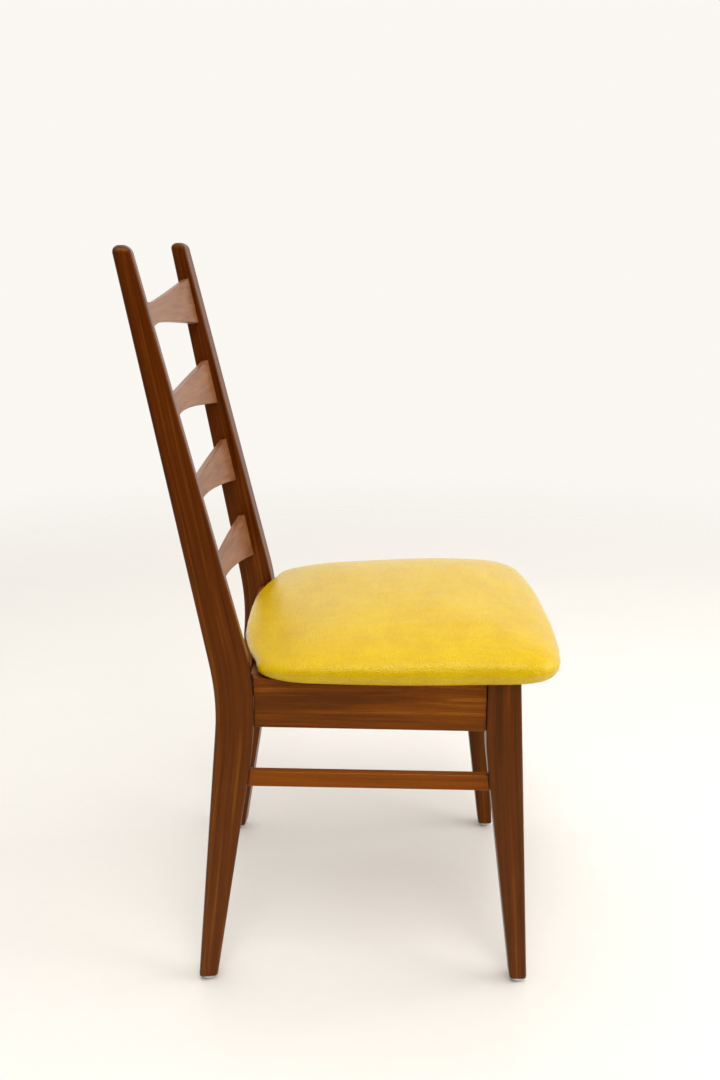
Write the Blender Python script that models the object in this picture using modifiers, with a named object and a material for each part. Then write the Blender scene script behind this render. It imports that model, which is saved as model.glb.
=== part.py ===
"""Ladder-back dining chair with a padded seat, built as separate joined pieces.

Metres, +Z up. The chair stands on z = 0 and faces -Y; the sitter's right is -X.
The origin is on the floor, at the middle of the chair's overall width and depth.
"""

import math

import bmesh
import bpy
from mathutils import Matrix, Vector

OBJECT_NAME = "dining_chair"

# Gap kept between two pieces that touch.
FIT_GAP = 0.0003

# Overall sizes.
HEIGHT = 0.940
RAIL_TOP = 0.427
RAIL_LENGTH = 0.288
REAR_SPACING = 0.366
FRONT_SPACING = 0.392

# Rear posts: each is one board, a leg below the seat and a leaning stile above it.
POST_THICKNESS = 0.028
POST_TOE_IN = math.radians(6.5)
POST_SEAT_DEPTH = 0.0440
POST_TOP_DEPTH = 0.0205
POST_FOOT_DEPTH = 0.0235
STILE_LEAN = math.radians(10.1)
REAR_LEG_SPLAY = math.radians(5.4)
WAIST_BELOW_RAIL_TOP = 0.026
KNEE_ABOVE_RAIL_TOP = 0.004
KNEE_BELOW_RAIL = 0.014
WAIST_REACH = 0.045
KNEE_REACH = 0.032
POST_TOP_ROUNDING = 0.008

# Front legs.
LEG_THICKNESS = 0.028
LEG_TOP_DEPTH = 0.041
LEG_FOOT_DEPTH = 0.0215
FRONT_LEG_SPLAY = math.radians(3.15)
SHOULDER_BELOW_RAIL = 0.0175
SHOULDER_REACH = 0.020

ARRIS_ROUNDING = 0.0045
FOOT_ROUNDING = 0.0015
SMALL_ROUNDING = 0.0015

# Seat rails.
RAIL_HEIGHT = 0.0655
RAIL_THICKNESS = 0.020
FRONT_RAIL_SETBACK = 0.006
REAR_RAIL_SETBACK = 0.004

# Side stretchers.
STRETCHER_HEIGHT = 0.021
STRETCHER_THICKNESS = 0.012
STRETCHER_BELOW_RAIL = 0.0725

# Back slats: waisted boards, bowed backwards, with a tenon at each end.
SLAT_COUNT = 4
SLAT_THICKNESS = 0.010
SLAT_END_HEIGHT = 0.0665
SLAT_WAIST_HEIGHT = 0.027
SLAT_WAIST_POWER = 1.7
SLAT_BOW = 0.021
TOP_SLAT_DROP = 0.082
BOTTOM_SLAT_RISE = 0.081
SLAT_STATIONS = 14
TENON_LENGTH = 0.014
TENON_THICKNESS = 0.006
TENON_SHOULDER = 0.008

# Dowels.
DOWEL_RADIUS = 0.004
DOWEL_DEPTH = 0.018
CROSS_DOWEL_DEPTH = 0.014
SIDE_DOWEL_PITCH = 0.038
CROSS_DOWEL_PITCH = 0.015
STRETCHER_DOWEL_RADIUS = 0.003
STRETCHER_DOWEL_DEPTH = 0.012
DOWEL_SIDES = 10

# Corner blocks and their screws.
BLOCK_HEIGHT = 0.030
BLOCK_BELOW_RAIL_TOP = 0.005
BLOCK_LENGTH = 0.080
BLOCK_POST_CLEARANCE = 0.002
BLOCK_SCREW_SPREAD = 0.62
BLOCK_SCREW_LIFT = 0.007
BLOCK_SCREW_WOOD = 0.009
BLOCK_SCREW_BITE = 0.013
SEAT_SCREW_BITE = 0.007
SEAT_SCREW_TO_CORNER = 0.15
SCREW_RADIUS = 0.002
SCREW_HEAD_RADIUS = 0.004
SCREW_HEAD_HEIGHT = 0.0026
SCREW_HEAD_RIM = 0.0008
SCREW_POINT = 0.003
SCREW_STEPS = 8

# Glides under the feet.
GLIDE_RADIUS = 0.0105
GLIDE_HEIGHT = 0.0055
GLIDE_PAD_RADIUS = 0.0072
GLIDE_NAIL_RADIUS = 0.0012
GLIDE_NAIL_LENGTH = 0.014
GLIDE_NAIL_TAPER = 0.0020
GLIDE_TOP_EASING = (0.0004, 0.0006)
GLIDE_CUP_WALL = 0.0020
GLIDE_CUP_LIP = (0.0012, 0.0036)
GLIDE_STEPS = 16

# Seat: plywood board, foam, and a cover folded under the board.
BOARD_THICKNESS = 0.010
COVER_THICKNESS = 0.0012
COVER_HEM = 0.020
CUSHION_SIDE_OVERHANG = 0.0135
CUSHION_FRONT_OVERHANG = 0.061
CUSHION_CORNER_SETBACK = 0.015
CUSHION_REAR_REACH = 0.0215
CUSHION_REAR_CORNER_SETBACK = 0.018
CUSHION_REAR_FLAT_INSET = 0.070
CUSHION_BOWED_SIDE = 0.004
CUSHION_UNDER_ROUND = 0.010
CUSHION_RIM_RISE = 0.0145
CUSHION_RIM_BULGE = 0.29
CUSHION_FRONT_CROWN = 0.046
CUSHION_REAR_CROWN = 0.0285
CUSHION_EDGE_POWER = 2.25
CUSHION_STATIONS = 6
CUSHION_CORNER_STEPS = 5
CUSHION_FLAT_EASING = 0.065
CUSHION_REAR_CORNER_EASING = 0.036
CUSHION_SIDE_EASING = 0.080
CUSHION_FRONT_CORNER_EASING = 0.050
FOAM_SIDE_GAP = 0.0006

# Heights that follow from the sizes above.
RAIL_BOTTOM = RAIL_TOP - RAIL_HEIGHT
FOOT_LEVEL = GLIDE_HEIGHT + FIT_GAP
KNEE_LOW = RAIL_BOTTOM - KNEE_BELOW_RAIL
KNEE_HIGH = RAIL_TOP + KNEE_ABOVE_RAIL_TOP
WAIST = RAIL_TOP - WAIST_BELOW_RAIL_TOP
SHOULDER = RAIL_BOTTOM - SHOULDER_BELOW_RAIL
COVER_BOTTOM = RAIL_TOP + FIT_GAP
BOARD_BOTTOM = COVER_BOTTOM + COVER_THICKNESS + FIT_GAP
BOARD_TOP = BOARD_BOTTOM + BOARD_THICKNESS
RIM_LEVEL = COVER_BOTTOM + CUSHION_RIM_RISE

# Half spacings of the posts and of the front legs.
POST_X = REAR_SPACING / 2
LEG_X = FRONT_SPACING / 2

SIDES = {"right": -1, "left": 1}
UP = Vector((0, 0, 1))

# Colours are linear RGB; each finish is (colour, roughness, metallic).
FINISHES = {
    "dark_teak": ((0.100, 0.032, 0.010), 0.38, 0.0),
    "rail_teak": ((0.150, 0.048, 0.012), 0.38, 0.0),
    "slat_teak": ((0.270, 0.110, 0.050), 0.36, 0.0),
    "beech": ((0.560, 0.380, 0.220), 0.70, 0.0),
    "plywood": ((0.520, 0.370, 0.210), 0.70, 0.0),
    "foam": ((0.800, 0.720, 0.480), 0.95, 0.0),
    "leatherette": ((0.780, 0.500, 0.012), 0.42, 0.0),
    "steel": ((0.560, 0.560, 0.540), 0.30, 1.0),
}


def clear_scene():
    for old in list(bpy.data.objects):
        bpy.data.objects.remove(old, do_unlink=True)


def new_collection(name, hidden=False):
    group = bpy.data.collections.new(name)
    group.hide_render = hidden
    bpy.context.scene.collection.children.link(group)
    return group


def finish(name):
    """The material of that name, made on its first use."""
    material = bpy.data.materials.get(name)
    if material:
        return material
    colour, roughness, metallic = FINISHES[name]
    material = bpy.data.materials.new(name)
    material.use_nodes = True
    shader = material.node_tree.nodes["Principled BSDF"]
    shader.inputs["Base Color"].default_value = (*colour, 1)
    shader.inputs["Roughness"].default_value = roughness
    shader.inputs["Metallic"].default_value = metallic
    material.diffuse_color = (*colour, 1)
    return material


# ---------------------------------------------------------------- making objects


def place(name, mesh, group, material=None, matrix=None):
    piece = bpy.data.objects.new(name, mesh)
    group.objects.link(piece)
    if material and not mesh.materials:
        mesh.materials.append(finish(material))
    if matrix:
        piece.matrix_world = matrix
    return piece


def mesh_from(name, work):
    """A mesh data block from a bmesh, with its faces turned outwards."""
    bmesh.ops.recalc_face_normals(work, faces=work.faces)
    mesh = bpy.data.meshes.new(name)
    work.to_mesh(mesh)
    work.free()
    return mesh


def frame_at(origin, along, up=UP):
    """A matrix at origin whose Z axis runs along a direction, with its X axis square to up."""
    z_axis = along.normalized()
    x_axis = up.cross(z_axis)
    if x_axis.length < 1e-6:
        x_axis = Vector((1, 0, 0))
    x_axis.normalize()
    y_axis = z_axis.cross(x_axis)
    turned = Matrix((x_axis, y_axis, z_axis)).transposed()
    return Matrix.Translation(origin) @ turned.to_4x4()


def cylinder(name, group, start, end, radius, sides, material=None):
    work = bmesh.new()
    span = end - start
    bmesh.ops.create_cone(
        work, cap_ends=True, segments=sides, radius1=radius, radius2=radius, depth=span.length
    )
    return place(name, mesh_from(name, work), group, material, frame_at((start + end) / 2, span))


def block(name, group, size, matrix, material=None):
    """A box of the given size, centred on the matrix."""
    work = bmesh.new()
    bmesh.ops.create_cube(work, size=1)
    bmesh.ops.scale(work, vec=size, verts=work.verts)
    return place(name, mesh_from(name, work), group, material, matrix)


def outline_solid(name, group, outline, thickness, matrix, material=None):
    """A flat closed outline, filled and given a thickness, as a welded mesh."""
    curve = bpy.data.curves.new(name, "CURVE")
    curve.dimensions = "2D"
    curve.fill_mode = "BOTH"
    curve.extrude = thickness / 2
    spline = curve.splines.new("POLY")
    spline.points.add(len(outline) - 1)
    for point, (x, y) in zip(spline.points, outline):
        point.co = (x, y, 0, 1)
    spline.use_cyclic_u = True
    guide = bpy.data.objects.new(name + "_outline", curve)
    bpy.context.scene.collection.objects.link(guide)
    guide.matrix_world = matrix
    bpy.context.view_layer.update()
    graph = bpy.context.evaluated_depsgraph_get()
    mesh = bpy.data.meshes.new_from_object(guide.evaluated_get(graph))
    mesh.name = name
    work = bmesh.new()
    work.from_mesh(mesh)
    bmesh.ops.remove_doubles(work, verts=work.verts, dist=1e-6)
    bmesh.ops.dissolve_limit(work, angle_limit=1e-4, verts=work.verts, edges=work.edges)
    bmesh.ops.recalc_face_normals(work, faces=work.faces)
    work.to_mesh(mesh)
    work.free()
    mesh.materials.clear()
    piece = place(name, mesh, group, material, guide.matrix_world.copy())
    bpy.data.objects.remove(guide, do_unlink=True)
    return piece


def turned_solid(name, group, profile, steps, matrix, material):
    """A solid turned about Z from (radius, z) points that run down its outer side."""
    work = bmesh.new()
    line = [work.verts.new((radius, 0, z)) for radius, z in profile]
    for upper, lower in zip(line, line[1:]):
        work.edges.new((upper, lower))
    mesh = bpy.data.meshes.new(name)
    work.to_mesh(mesh)
    work.free()
    piece = place(name, mesh, group, material, matrix)
    turn = piece.modifiers.new("turn", "SCREW")
    turn.steps = steps
    turn.render_steps = steps
    turn.use_merge_vertices = True
    turn.merge_threshold = 1e-5
    return piece


def round_edges(piece, width, segments=2, least_angle=50):
    bevel = piece.modifiers.new("rounding", "BEVEL")
    bevel.width = width
    bevel.segments = segments
    bevel.limit_method = "ANGLE"
    bevel.angle_limit = math.radians(least_angle)


def round_marked_edges(piece, width, segments):
    bevel = piece.modifiers.new("rounding", "BEVEL")
    bevel.width = width
    bevel.segments = segments
    bevel.limit_method = "WEIGHT"


def mark_board_edges(mesh, foot_level):
    """Bevel weights of a board cut from an outline: full on its long arrises, little round its foot."""
    weights = mesh.attributes.new("bevel_weight_edge", "FLOAT", "EDGE")
    normals = {}
    for face in mesh.polygons:
        for key in face.edge_keys:
            normals.setdefault(key, []).append(face.normal)
    for edge in mesh.edges:
        ends = [mesh.vertices[i].co.z for i in edge.vertices]
        first, second = normals[edge.key]
        if first.angle(second) < math.radians(50):
            continue
        at_foot = max(ends) < foot_level + 1e-5
        weights.data[edge.index].value = FOOT_ROUNDING / ARRIS_ROUNDING if at_foot else 1.0


def cut(piece, cutters):
    for cutter in cutters:
        boolean = piece.modifiers.new("cut_" + cutter.name, "BOOLEAN")
        boolean.operation = "DIFFERENCE"
        boolean.solver = "EXACT"
        boolean.object = cutter


def apply_modifiers(piece):
    """Replaces a piece's mesh by its evaluated one."""
    bpy.context.view_layer.update()
    graph = bpy.context.evaluated_depsgraph_get()
    mesh = bpy.data.meshes.new_from_object(piece.evaluated_get(graph))
    piece.modifiers.clear()
    piece.data = mesh


def trim(piece, point, outward):
    """Cuts off what lies beyond a plane given in world space, and closes the cut."""
    to_local = piece.matrix_world.inverted()
    normal = (to_local.to_3x3() @ outward).normalized()
    work = bmesh.new()
    work.from_mesh(piece.data)
    bmesh.ops.bisect_plane(
        work,
        geom=work.verts[:] + work.edges[:] + work.faces[:],
        plane_co=to_local @ point,
        plane_no=normal,
        clear_outer=True,
    )
    open_edges = [edge for edge in work.edges if edge.is_boundary]
    bmesh.ops.contextual_create(work, geom=open_edges)
    bmesh.ops.recalc_face_normals(work, faces=work.faces)
    work.to_mesh(piece.data)
    work.free()


def shade_round(piece, angle=35):
    piece.data.shade_smooth()
    piece.data.set_sharp_from_angle(angle=math.radians(angle))


# ---------------------------------------------------------------- shape rules


def ramp(distance, reach):
    """The larger of distance and 0, with the corner at 0 eased over reach to either side."""
    if distance < -reach:
        return 0.0
    if distance > reach:
        return distance
    return (distance + reach) ** 2 / (4 * reach)


def post_back(z):
    """How far behind the seat face a rear post's back edge is, at height z."""
    stile = math.tan(STILE_LEAN) * ramp(z - WAIST, WAIST_REACH)
    leg = math.tan(REAR_LEG_SPLAY) * ramp(WAIST - z, WAIST_REACH)
    return POST_SEAT_DEPTH + stile + leg


def post_front(z):
    """How far behind the seat face a rear post's front edge is, at height z."""
    stile_slope = (post_back(HEIGHT) - POST_TOP_DEPTH) / (HEIGHT - KNEE_HIGH)
    leg_slope = (post_back(0) - POST_FOOT_DEPTH) / KNEE_LOW
    stile = stile_slope * ramp(z - KNEE_HIGH, KNEE_REACH)
    leg = leg_slope * ramp(KNEE_LOW - z, KNEE_REACH)
    return stile + leg


def leg_front(z):
    """How far before its rail face a front leg's front edge is, at height z."""
    return LEG_TOP_DEPTH + math.tan(FRONT_LEG_SPLAY) * (RAIL_TOP - z)


def leg_back(z):
    """How far before its rail face a front leg's back edge is, at height z."""
    slope = (leg_front(0) - LEG_FOOT_DEPTH) / SHOULDER
    return slope * ramp(SHOULDER - z, SHOULDER_REACH)


def slope_of(edge, z, step=0.002):
    return (edge(z + step) - edge(z - step)) / (2 * step)


def levels(low, high, count):
    return [low + (high - low) * i / count for i in range(count + 1)]


def eased(at, reach, count=4):
    """Heights through an eased corner."""
    return levels(at - reach, at + reach, count)


def rounded_corners(corners, reaches, steps):
    """A closed outline with each corner eased by a quadratic curve that starts reach before it."""
    outline = []
    for i, (corner, reach) in enumerate(zip(corners, reaches)):
        before = (corners[i - 1] - corner).normalized() * reach
        after = (corners[(i + 1) % len(corners)] - corner).normalized() * reach
        for t in levels(0, 1, steps):
            outline.append(corner + before * (1 - t) ** 2 + after * t**2)
    return outline


def loft(name, rings, group, material):
    """A closed solid through rings of equal length, capped at its first and last ring."""
    work = bmesh.new()
    loops = [[work.verts.new(point) for point in ring] for ring in rings]
    for lower, upper in zip(loops, loops[1:]):
        for i in range(len(lower)):
            work.faces.new((lower[i - 1], lower[i], upper[i], upper[i - 1]))
    work.faces.new(loops[0])
    work.faces.new(loops[-1])
    return place(name, mesh_from(name, work), group, material)


def slat_level(index):
    top = HEIGHT - TOP_SLAT_DROP
    bottom = RAIL_TOP + BOTTOM_SLAT_RISE
    return top + (bottom - top) * index / (SLAT_COUNT - 1)


def stile_middle(z):
    return (post_front(z) + post_back(z)) / 2


def stile_reach():
    """How far behind the seat face the stiles' tops reach, along world Y."""
    back = post_back(HEIGHT - POST_TOP_ROUNDING)
    outer_corner = POST_THICKNESS / 2 - ARRIS_ROUNDING
    return back * math.cos(POST_TOE_IN) + outer_corner * math.sin(POST_TOE_IN)


def slat_reach(index):
    """How far behind the seat face a bowed slat's middle reaches, along world Y."""
    z = slat_level(index)
    end = stile_middle(z) * math.cos(POST_TOE_IN) + POST_THICKNESS / 2 * math.sin(POST_TOE_IN)
    lean = math.atan(slope_of(stile_middle, z) * math.cos(POST_TOE_IN))
    bow = (SLAT_BOW + SLAT_THICKNESS / 2) * math.cos(lean)
    return end + bow + SLAT_WAIST_HEIGHT / 2 * math.sin(lean)


# How far the chair reaches behind and before the posts' seat faces, and where those faces
# then stand so that the origin is midway.
BACK_REACH = max(stile_reach(), slat_reach(0))
CUSHION_FRONT_REACH = RAIL_LENGTH + LEG_TOP_DEPTH + CUSHION_FRONT_OVERHANG
POST_FACE_Y = (CUSHION_FRONT_REACH - BACK_REACH) / 2
LEG_FACE_Y = POST_FACE_Y - RAIL_LENGTH


# ---------------------------------------------------------------- frame pieces


def post_matrix(side):
    turned = Matrix.Rotation(-side * POST_TOE_IN, 4, "Z")
    return Matrix.Translation((side * POST_X, POST_FACE_Y, 0)) @ turned


def leg_matrix(side):
    return Matrix.Translation((side * LEG_X, LEG_FACE_Y, 0))


def post_outline():
    """Rear post seen from the side, as (back, up) points in its own frame."""
    knees = sorted(eased(KNEE_LOW, KNEE_REACH) + eased(KNEE_HIGH, KNEE_REACH))
    front = [(post_front(z), z) for z in [FOOT_LEVEL, *knees]]
    back = [(post_back(z), z) for z in [FOOT_LEVEL, *eased(WAIST, WAIST_REACH, 6)]]
    lean_back = math.tan(STILE_LEAN)
    top = [Vector((post_front(HEIGHT), HEIGHT)), Vector((post_back(HEIGHT), HEIGHT))]
    down_front = (Vector(front[-1]) - top[0]).normalized() * POST_TOP_ROUNDING
    down_back = Vector((-lean_back, -1)).normalized() * POST_TOP_ROUNDING
    across = (top[1] - top[0]).normalized() * POST_TOP_ROUNDING
    crown = []
    for corner, before, after in ((top[0], down_front, across), (top[1], -across, down_back)):
        crown += [corner + before * (1 - t) ** 2 + after * t**2 for t in levels(0, 1, 4)]
    return [tuple(p) for p in front + crown + back[::-1]]


def leg_outline():
    """Front leg seen from the side, as (back, up) points in its own frame."""
    back = [(-leg_back(z), z) for z in [FOOT_LEVEL, *eased(SHOULDER, SHOULDER_REACH), RAIL_TOP]]
    front = [(-leg_front(z), z) for z in (FOOT_LEVEL, RAIL_TOP)]
    return front + back[::-1]


def standing_board(name, group, outline, thickness, matrix, material):
    """A board cut to a side-view outline of (y, z) points, its thickness along X."""
    lay_to_stand = Matrix.Rotation(math.radians(90), 4, "Z") @ Matrix.Rotation(math.radians(90), 4, "X")
    board = outline_solid(name, group, outline, thickness, lay_to_stand, material)
    board.data.transform(lay_to_stand)
    board.matrix_world = matrix
    mark_board_edges(board.data, FOOT_LEVEL)
    round_marked_edges(board, ARRIS_ROUNDING, 3)
    shade_round(board)
    return board


def make_rear_post(name, side, group):
    return standing_board(name, group, post_outline(), POST_THICKNESS, post_matrix(side), "dark_teak")


def make_front_leg(name, side, group):
    return standing_board(name, group, leg_outline(), LEG_THICKNESS, leg_matrix(side), "dark_teak")


def rail_line(side):
    """Plan points where a side rail's centre line meets its rear post and its front leg."""
    return Vector((side * POST_X, POST_FACE_Y, 0)), Vector((side * LEG_X, LEG_FACE_Y, 0))


def rail_direction(side):
    rear, front = rail_line(side)
    return (front - rear).normalized()


def post_inner_face(side):
    """A point on a rear post's inner face, and the face's direction away from the post."""
    matrix = post_matrix(side)
    inward = matrix.to_3x3() @ Vector((-side, 0, 0))
    return matrix.translation + inward * (POST_THICKNESS / 2), inward


def bar(name, group, start, end, height, thickness, level, material):
    """A straight bar of upright section whose axis runs from start to end at a level."""
    start = Vector((start.x, start.y, level))
    end = Vector((end.x, end.y, level))
    matrix = frame_at((start + end) / 2, end - start)
    size = (thickness, height, (end - start).length)
    return block(name, group, size, matrix, material)


def make_side_rail(name, side, group):
    rear, front = rail_line(side)
    spare = rail_direction(side) * RAIL_THICKNESS
    level = RAIL_TOP - RAIL_HEIGHT / 2
    rail = bar(
        name, group, rear - spare, front + spare, RAIL_HEIGHT, RAIL_THICKNESS, level, "rail_teak"
    )
    to_back = post_matrix(side).to_3x3() @ Vector((0, 1, 0))
    trim(rail, rear - to_back * FIT_GAP, to_back)
    trim(rail, front + Vector((0, FIT_GAP, 0)), Vector((0, -1, 0)))
    round_edges(rail, SMALL_ROUNDING, 1)
    return rail


def front_rail_y():
    middle = RAIL_TOP - RAIL_HEIGHT / 2
    return LEG_FACE_Y - leg_front(middle) + FRONT_RAIL_SETBACK + RAIL_THICKNESS / 2


def rear_rail_y():
    return POST_FACE_Y + REAR_RAIL_SETBACK + RAIL_THICKNESS / 2


def make_front_rail(name, group):
    reach = LEG_X - LEG_THICKNESS / 2 - FIT_GAP
    level = RAIL_TOP - RAIL_HEIGHT / 2
    y = front_rail_y()
    rail = bar(
        name, group, Vector((-reach, y, 0)), Vector((reach, y, 0)),
        RAIL_HEIGHT, RAIL_THICKNESS, level, "rail_teak",
    )
    round_edges(rail, SMALL_ROUNDING, 1)
    return rail


def make_rear_rail(name, group):
    level = RAIL_TOP - RAIL_HEIGHT / 2
    y = rear_rail_y()
    rail = bar(
        name, group, Vector((-POST_X, y, 0)), Vector((POST_X, y, 0)),
        RAIL_HEIGHT, RAIL_THICKNESS, level, "rail_teak",
    )
    for side in SIDES.values():
        point, inward = post_inner_face(side)
        trim(rail, point + inward * FIT_GAP, -inward)
    round_edges(rail, SMALL_ROUNDING, 1)
    return rail


def stretcher_level():
    return RAIL_BOTTOM - STRETCHER_BELOW_RAIL


def stretcher_ends(side):
    """Where a stretcher's axis meets the rear post and the front leg, with the faces' directions."""
    z = stretcher_level()
    post, leg = post_matrix(side), leg_matrix(side)
    rear = post @ Vector((0, post_front(z), z))
    front = leg @ Vector((0, -leg_back(z), z))
    rear_face = post.to_3x3() @ Vector((0, 1, -slope_of(post_front, z)))
    front_face = leg.to_3x3() @ Vector((0, -1, -slope_of(leg_back, z)))
    return rear, front, rear_face.normalized(), front_face.normalized()


def make_stretcher(name, side, group):
    rear, front, rear_face, front_face = stretcher_ends(side)
    spare = (front - rear).normalized() * STRETCHER_HEIGHT
    stretcher = bar(
        name, group, rear - spare, front + spare,
        STRETCHER_HEIGHT, STRETCHER_THICKNESS, stretcher_level(), "rail_teak",
    )
    trim(stretcher, rear - rear_face * FIT_GAP, rear_face)
    trim(stretcher, front - front_face * FIT_GAP, front_face)
    round_edges(stretcher, SMALL_ROUNDING, 1)
    return stretcher


# ---------------------------------------------------------------- back slats


def slat_end_matrix(side, index):
    """On a stile's inner face at a slat's middle: X into the post, Z up along the stile."""
    z = slat_level(index)
    post = post_matrix(side)
    origin = post @ Vector((-side * POST_THICKNESS / 2, stile_middle(z), z))
    into = post.to_3x3() @ Vector((side, 0, 0))
    up = post.to_3x3() @ Vector((0, slope_of(stile_middle, z), 1)).normalized()
    back = up.cross(into)
    turned = Matrix((into, back, up)).transposed()
    return Matrix.Translation(origin) @ turned.to_4x4()


def slat_matrix(index):
    """The slat's own frame: origin midway between its ends, X across, Z up along the stiles."""
    ends = [slat_end_matrix(side, index) for side in SIDES.values()]
    origin = (ends[0].translation + ends[1].translation) / 2
    up = ends[0].col[2].to_3d() + ends[1].col[2].to_3d()
    lean = math.atan2(up.y, up.z)
    return Matrix.Translation(origin) @ Matrix.Rotation(-lean, 4, "X")


def slat_half_height(share):
    """Half height of a slat at a share of the way from its middle (0) to its end (1)."""
    growth = min(share, 1.0) ** SLAT_WAIST_POWER
    return (SLAT_WAIST_HEIGHT + (SLAT_END_HEIGHT - SLAT_WAIST_HEIGHT) * growth) / 2


def make_slat(name, index, group, cutters):
    ends = [slat_end_matrix(side, index) for side in SIDES.values()]
    half_span = abs(ends[0].translation.x)
    overrun = SLAT_THICKNESS / half_span
    work = bmesh.new()
    bmesh.ops.create_grid(work, x_segments=SLAT_STATIONS, y_segments=1, size=1)
    for vert in work.verts:
        across = vert.co.x * (1 + overrun)
        height = slat_half_height(abs(across))
        bow = SLAT_BOW * (1 - across**2)
        vert.co = (across * half_span, bow, math.copysign(height, vert.co.y))
    slat = place(name, mesh_from(name, work), group, "slat_teak", slat_matrix(index))
    board = slat.modifiers.new("thickness", "SOLIDIFY")
    board.thickness = SLAT_THICKNESS
    board.offset = 0
    board.use_even_offset = True
    round_edges(slat, SMALL_ROUNDING, 1)
    apply_modifiers(slat)
    bpy.context.view_layer.update()
    for side in SIDES.values():
        point, inward = post_inner_face(side)
        trim(slat, point + inward * FIT_GAP, -inward)
    for side_name, side in SIDES.items():
        add_tenon(slat, side_name, side, index, cutters)
    shade_round(slat)
    return slat


def tenon_size(extra):
    height = SLAT_END_HEIGHT - 2 * TENON_SHOULDER
    return TENON_THICKNESS + 2 * extra, height + 2 * extra


def add_tenon(slat, side_name, side, index, cutters):
    """Joins a tenon to a slat's end; it starts inside the slat and ends inside the post."""
    thickness, height = tenon_size(0)
    matrix = slat_end_matrix(side, index)
    length = TENON_LENGTH + SLAT_THICKNESS
    middle = Matrix.Translation(((TENON_LENGTH - SLAT_THICKNESS) / 2, 0, 0))
    tenon = block(
        f"{slat.name}_tenon_{side_name}", cutters, (length, thickness, height), matrix @ middle
    )
    union = slat.modifiers.new("tenon_" + side_name, "BOOLEAN")
    union.operation = "UNION"
    union.solver = "EXACT"
    union.object = tenon


def make_mortise(name, side, index, cutters):
    """The cutter of the slot that a slat's tenon enters, open through the post's inner face."""
    thickness, height = tenon_size(FIT_GAP)
    depth = TENON_LENGTH + FIT_GAP
    length = depth + SLAT_THICKNESS
    middle = Matrix.Translation((depth - length / 2, 0, 0))
    matrix = slat_end_matrix(side, index) @ middle
    return block(name, cutters, (length, thickness, height), matrix)


# ---------------------------------------------------------------- dowels


def make_dowel(name, joint, into, depth, radius, group, cutters):
    """A dowel through a joint face, as deep to either side, and the cutter of its hole."""
    reach = into.normalized() * depth
    gap = into.normalized() * FIT_GAP
    dowel = cylinder(name, group, joint - reach, joint + reach, radius, DOWEL_SIDES, "beech")
    shade_round(dowel)
    bore = cylinder(
        "bore_" + name, cutters, joint - reach - gap, joint + reach + gap,
        radius + FIT_GAP / math.cos(math.pi / DOWEL_SIDES), DOWEL_SIDES,
    )
    return bore


def dowel_levels(pitch):
    middle = RAIL_TOP - RAIL_HEIGHT / 2
    return {"lower": middle - pitch / 2, "upper": middle + pitch / 2}


def make_side_rail_dowels(side_name, side, end, group, cutters):
    """The two dowels at one end of a side rail. Their bores cut the rail and the upright."""
    rear, front = rail_line(side)
    joint = rear if end == "rear" else front
    bores = []
    for row, z in dowel_levels(SIDE_DOWEL_PITCH).items():
        name = f"dowel_side_rail_{side_name}_{end}_{row}"
        point = Vector((joint.x, joint.y, z))
        direction = rail_direction(side)
        bores.append(
            make_dowel(name, point, direction, DOWEL_DEPTH, DOWEL_RADIUS, group, cutters)
        )
    return bores


def make_cross_rail_dowels(rail_name, side_name, side, group, cutters):
    """The two dowels at one end of the front or the rear rail."""
    if rail_name == "front_rail":
        joint = Vector((side * (LEG_X - LEG_THICKNESS / 2), front_rail_y(), 0))
    else:
        point, inward = post_inner_face(side)
        share = (rear_rail_y() - point.y) / inward.cross(UP).y
        joint = point + inward.cross(UP) * share
    bores = []
    for row, z in dowel_levels(CROSS_DOWEL_PITCH).items():
        name = f"dowel_{rail_name}_{side_name}_{row}"
        point = Vector((joint.x, joint.y, z))
        direction = Vector((side, 0, 0))
        bores.append(
            make_dowel(name, point, direction, CROSS_DOWEL_DEPTH, DOWEL_RADIUS, group, cutters)
        )
    return bores


def make_stretcher_dowels(side_name, side, group, cutters):
    rear, front, _, _ = stretcher_ends(side)
    bores = {}
    for end, joint in (("rear", rear), ("front", front)):
        bores[end] = make_dowel(
            f"dowel_stretcher_{side_name}_{end}", joint, front - rear,
            STRETCHER_DOWEL_DEPTH, STRETCHER_DOWEL_RADIUS, group, cutters,
        )
    return bores


# ---------------------------------------------------------------- corner blocks and screws


def rail_inner_x(side, y):
    """World X of a side rail's inner face at a world Y."""
    rear, front = rail_line(side)
    share = (y - rear.y) / (front.y - rear.y)
    middle = rear.x + (front.x - rear.x) * share
    direction = rail_direction(side)
    return middle - side * RAIL_THICKNESS / 2 / abs(direction.y)


def block_corners(end, side):
    """A corner block in plan: along the cross rail, round the upright, along the side rail."""
    if end == "front":
        toward = 1
        rail_face = front_rail_y() + RAIL_THICKNESS / 2 + FIT_GAP
        upright_face = LEG_FACE_Y + BLOCK_POST_CLEARANCE
        upright_x = LEG_X - LEG_THICKNESS / 2 - BLOCK_POST_CLEARANCE
    else:
        toward = -1
        rail_face = rear_rail_y() - RAIL_THICKNESS / 2 - FIT_GAP
        upright_face = POST_FACE_Y - BLOCK_POST_CLEARANCE
        upright_x = POST_X - POST_THICKNESS / 2 - BLOCK_POST_CLEARANCE
    far_y = rail_face + toward * BLOCK_LENGTH
    side_gap = side * FIT_GAP
    far_x = side * upright_x - side * BLOCK_LENGTH
    return [
        Vector((far_x, rail_face)),
        Vector((side * upright_x, rail_face)),
        Vector((side * upright_x, upright_face)),
        Vector((rail_inner_x(side, upright_face) - side_gap, upright_face)),
        Vector((rail_inner_x(side, far_y) - side_gap, far_y)),
    ]


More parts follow.
